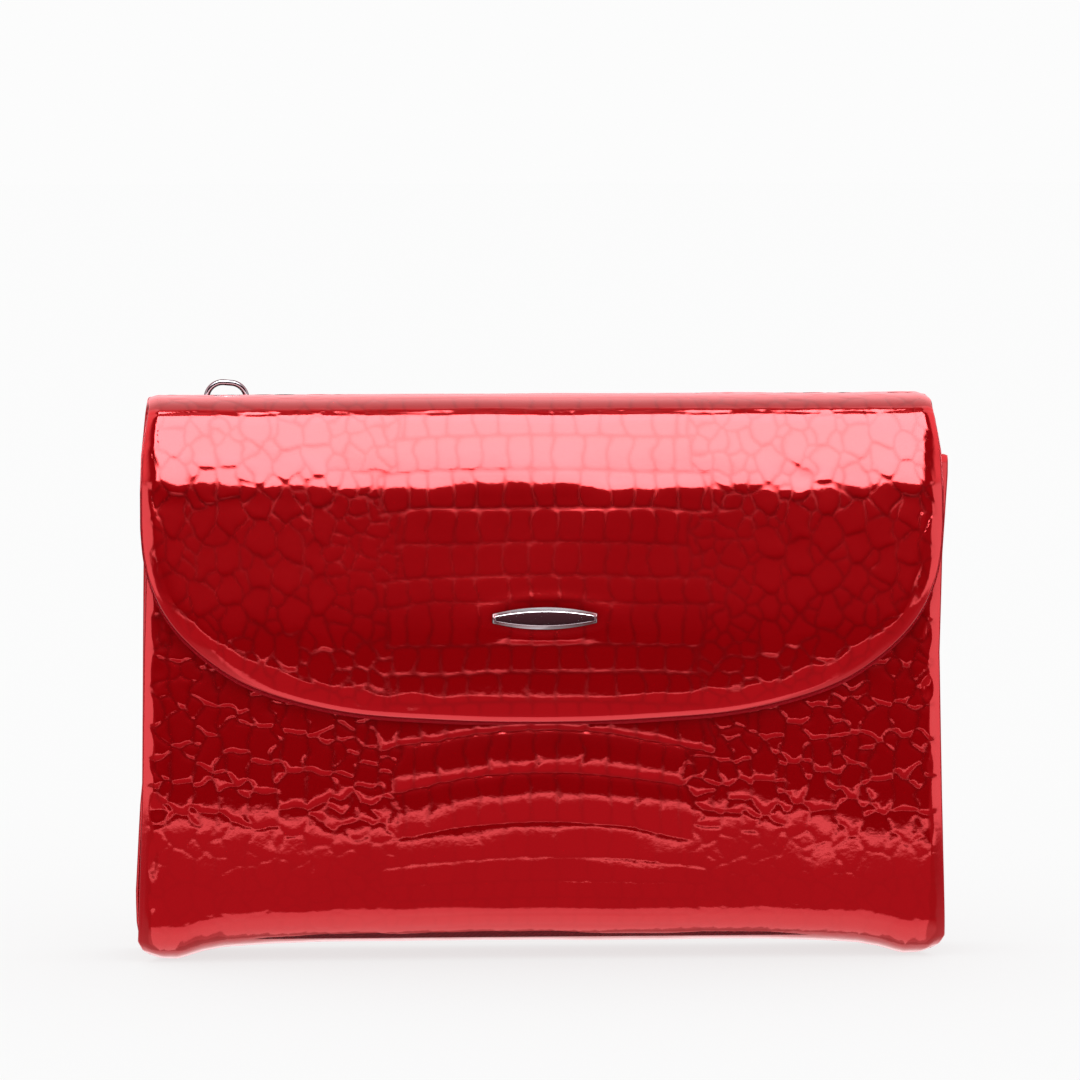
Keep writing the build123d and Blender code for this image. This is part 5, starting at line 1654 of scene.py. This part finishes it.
def build_world():
    w = bpy.data.worlds.new("studio")
    scene.world = w
    w.use_nodes = True
    nt = w.node_tree
    nt.nodes.clear()

    def node(kind, **kw):
        n = nt.nodes.new(kind)
        for k, v in kw.items():
            setattr(n, k, v)
        return n

    def m(op, a, b=None, c=None, clamp=False):
        n = node("ShaderNodeMath", operation=op, use_clamp=clamp)
        for i, x in enumerate((a, b, c)):
            if x is None:
                continue
            if hasattr(x, "links"):
                nt.links.new(x, n.inputs[i])
            else:
                n.inputs[i].default_value = x
        return n.outputs[0]

    def step(x, a, b):
        n = node("ShaderNodeMapRange", interpolation_type="SMOOTHSTEP")
        nt.links.new(x, n.inputs["Value"])
        n.inputs["From Min"].default_value, n.inputs["From Max"].default_value = a, b
        return n.outputs[0]

    def ramp(x, stops):
        """Colour by elevation: stops of (degrees, value or colour), values up to 40."""
        n = node("ShaderNodeValToRGB")
        nt.links.new(x, n.inputs[0])
        cr = n.color_ramp
        while len(cr.elements) < len(stops):
            cr.elements.new(0.5)
        for e, (p, v) in zip(cr.elements, stops):
            c = v if isinstance(v, tuple) else (v, v, v)
            e.position = (p + 90) / 180
            e.color = tuple(q / 40 for q in c) + (1,)
        return n.outputs[0]

    def mixc(f, p, q):
        n = node("ShaderNodeMix", data_type="RGBA")
        for i, x in ((0, f), (6, p), (7, q)):
            if hasattr(x, "links"):
                nt.links.new(x, n.inputs[i])
            else:
                n.inputs[i].default_value = x if i == 0 else (tuple(x) + (1,))
        return n.outputs[2]

    tc = node("ShaderNodeTexCoord").outputs["Generated"]
    sep = node("ShaderNodeSeparateXYZ")
    nt.links.new(tc, sep.inputs[0])
    X, Y, Z = sep.outputs
    el = m("MULTIPLY", m("ARCSINE", Z), 180 / math.pi)
    e01 = m("MULTIPLY_ADD", el, 1 / 180, 0.5)
    phi = m("MULTIPLY", m("ARCTAN2", m("ABSOLUTE", X), m("MULTIPLY", Y, -1.0)), 180 / math.pi)   # 0 in front, 180 behind
    MID = (1.35, 0.36, 0.46)
    DIM = (0.035, 0.02, 0.022)
    # in front: bright floor near by, the floor's far part, the horizon line, a dark room, and a large soft lamp above
    front = ramp(e01, [(-90, 4.0), (-42, 4.0), (-29, (3.7, 3.0, 3.2)), (-27, MID), (-9.4, MID), (-8.6, 4.3), (-7.4, 4.3), (-6.8, DIM), (0.0, (0.12, 0.04, 0.05)), (7.0, (0.38, 0.12, 0.14)), (13.0, (0.70, 0.22, 0.25)), (17.2, (1.05, 0.35, 0.38)),
                       (18.2, 24.0), (27, 30.5), (52, 30.5), (64.5, 26.0), (67.5, (1.3, 0.3, 0.34)), (71, (1.6, 0.5, 0.55)), (78, (2.9, 1.3, 1.4)), (90, 2.5)])
    # the same towards the sides, with a floor that isn't as bright
    side = ramp(e01, [(-90, 1.4), (-40, 1.3), (-17, (1.1, 0.9, 0.92)), (-8.0, (0.75, 0.30, 0.33)), (3.0, (0.42, 0.16, 0.18)), (13.0, (0.42, 0.16, 0.18)),
                      (17.5, (4.2, 2.5, 2.6)), (25, (5.0, 3.0, 3.1)), (50, (5.0, 3.0, 3.1)), (66, (4.5, 2.8, 2.9)), (76, 4.0), (90, 2.6)])
    behind = ramp(e01, [(-90, 2.4), (-32, 2.4), (-20, (2.2, 1.5, 1.6)), (-13, (0.5, 0.2, 0.22)), (-4, (1.0, 0.36, 0.4)), (6, (2.2, 0.85, 0.9)), (20, (2.3, 0.95, 1.0)), (30, (2.5, 1.2, 1.25)), (76, 2.3), (90, 2.5)])
    # unlit wall between the front lamp and the dimmer ones at the sides
    gap = ramp(e01, [(-90, 2.0), (-40, 2.0), (-27, (1.1, 0.36, 0.42)), (-8, (0.9, 0.3, 0.34)), (3, (0.3, 0.1, 0.12)), (66, (0.4, 0.15, 0.16)), (76, (1.5, 0.6, 0.6)), (90, 2.5)])
    col = mixc(step(phi, 19, 25), front, gap)
    col = mixc(step(phi, 36, 46), col, side)
    col = mixc(step(phi, 104, 132), col, behind)
    # two upright lamps at the sides, low down
    strip = m("MULTIPLY", step(phi, 30, 34), m("SUBTRACT", 1.0, step(phi, 62, 70)))
    low = m("MULTIPLY", step(el, -8.0, -6.0), m("SUBTRACT", 1.0, step(el, 13, 17)))
    col = mixc(m("MULTIPLY", strip, low), col, (4.3 / 40, 4.3 / 40, 4.3 / 40))

    lp = node("ShaderNodeLightPath")
    shiny = m("MULTIPLY", lp.outputs["Is Glossy Ray"], m("LESS_THAN", lp.outputs["Diffuse Depth"], 0.5))
    flat = m("ADD", m("MULTIPLY", lp.outputs["Is Camera Ray"], 0.974),
             m("MULTIPLY", m("SUBTRACT", 1.0, lp.outputs["Is Camera Ray"]), m("MULTIPLY_ADD", Z, 0.10, 1.0)))
    pick = mixc(shiny, m("MULTIPLY", flat, 1 / 40), col)
    bg = node("ShaderNodeBackground")
    nt.links.new(pick, bg.inputs["Color"])
    bg.inputs["Strength"].default_value = 40.0
    out = node("ShaderNodeOutputWorld")
    nt.links.new(bg.outputs[0], out.inputs[0])
    try:
        w.cycles.sampling_method = "NONE"
        scene.cycles.caustics_reflective = False
        scene.cycles.caustics_refractive = False
        scene.cycles.blur_glossy = 0.0
    except Exception:
        pass


build_world()
scene.view_settings.view_transform = "Standard"
scene.view_settings.look = "None"

low_z = min((o.matrix_world @ Vector(c)).z for o in (flap_skin, back_skin, front_skin) for c in o.bound_box)
me = bpy.data.meshes.new("studio_floor")
n = 24
g = np.linspace(-6, 6, n)
gx, gy = np.meshgrid(g, g)
me.from_pydata([(float(a), float(b), 0.0) for a, b in zip(gx.ravel(), gy.ravel())], [], [tuple(int(q) for q in f) for f in grid_faces(n, n)[:, ::-1]])
floor = bpy.data.objects.new("studio_floor", me)
floor.location = (0, 0, min(0.0, low_z) - 0.00003)
scene.collection.objects.link(floor)
F = Mat("studio_paper")
tc = F.node("ShaderNodeTexCoord").outputs["Object"]
F.link(F.mix(F.math("MULTIPLY", F.noise(tc, 8, 2), 0.02), (0.22, 0.22, 0.22), (0.217, 0.217, 0.217)), F.p.inputs["Base Color"])
F.set(Roughness=1.0)
F.p.inputs["Specular IOR Level"].default_value = 0.0
F.p.inputs["Emission Color"].default_value = (1, 1, 1, 1)
F.p.inputs["Emission Strength"].default_value = 0.735
me.materials.append(F.m)
floor.visible_glossy = False

# camera: a little to the left, a little above
AZ, EL, DIST, SPAN = math.radians(-3.6), math.radians(4.6), 2.2, 0.2970
target = Vector((-0.0011, (-22.5 + YS) * MM, 0.1169))
d = Vector((math.sin(AZ) * math.cos(EL), -math.cos(AZ) * math.cos(EL), math.sin(EL)))
cam_data = bpy.data.cameras.new("camera")
cam = bpy.data.objects.new("camera", cam_data)
scene.collection.objects.link(cam)
cam.location = target + d * DIST
cam.rotation_euler = (-d).to_track_quat("-Z", "Y").to_euler()
cam_data.sensor_width = 36.0
cam_data.sensor_fit = "HORIZONTAL"
cam_data.angle = 2 * math.atan(SPAN / 2 / DIST)
cam_data.clip_start, cam_data.clip_end = 0.05, 30
scene.camera = cam
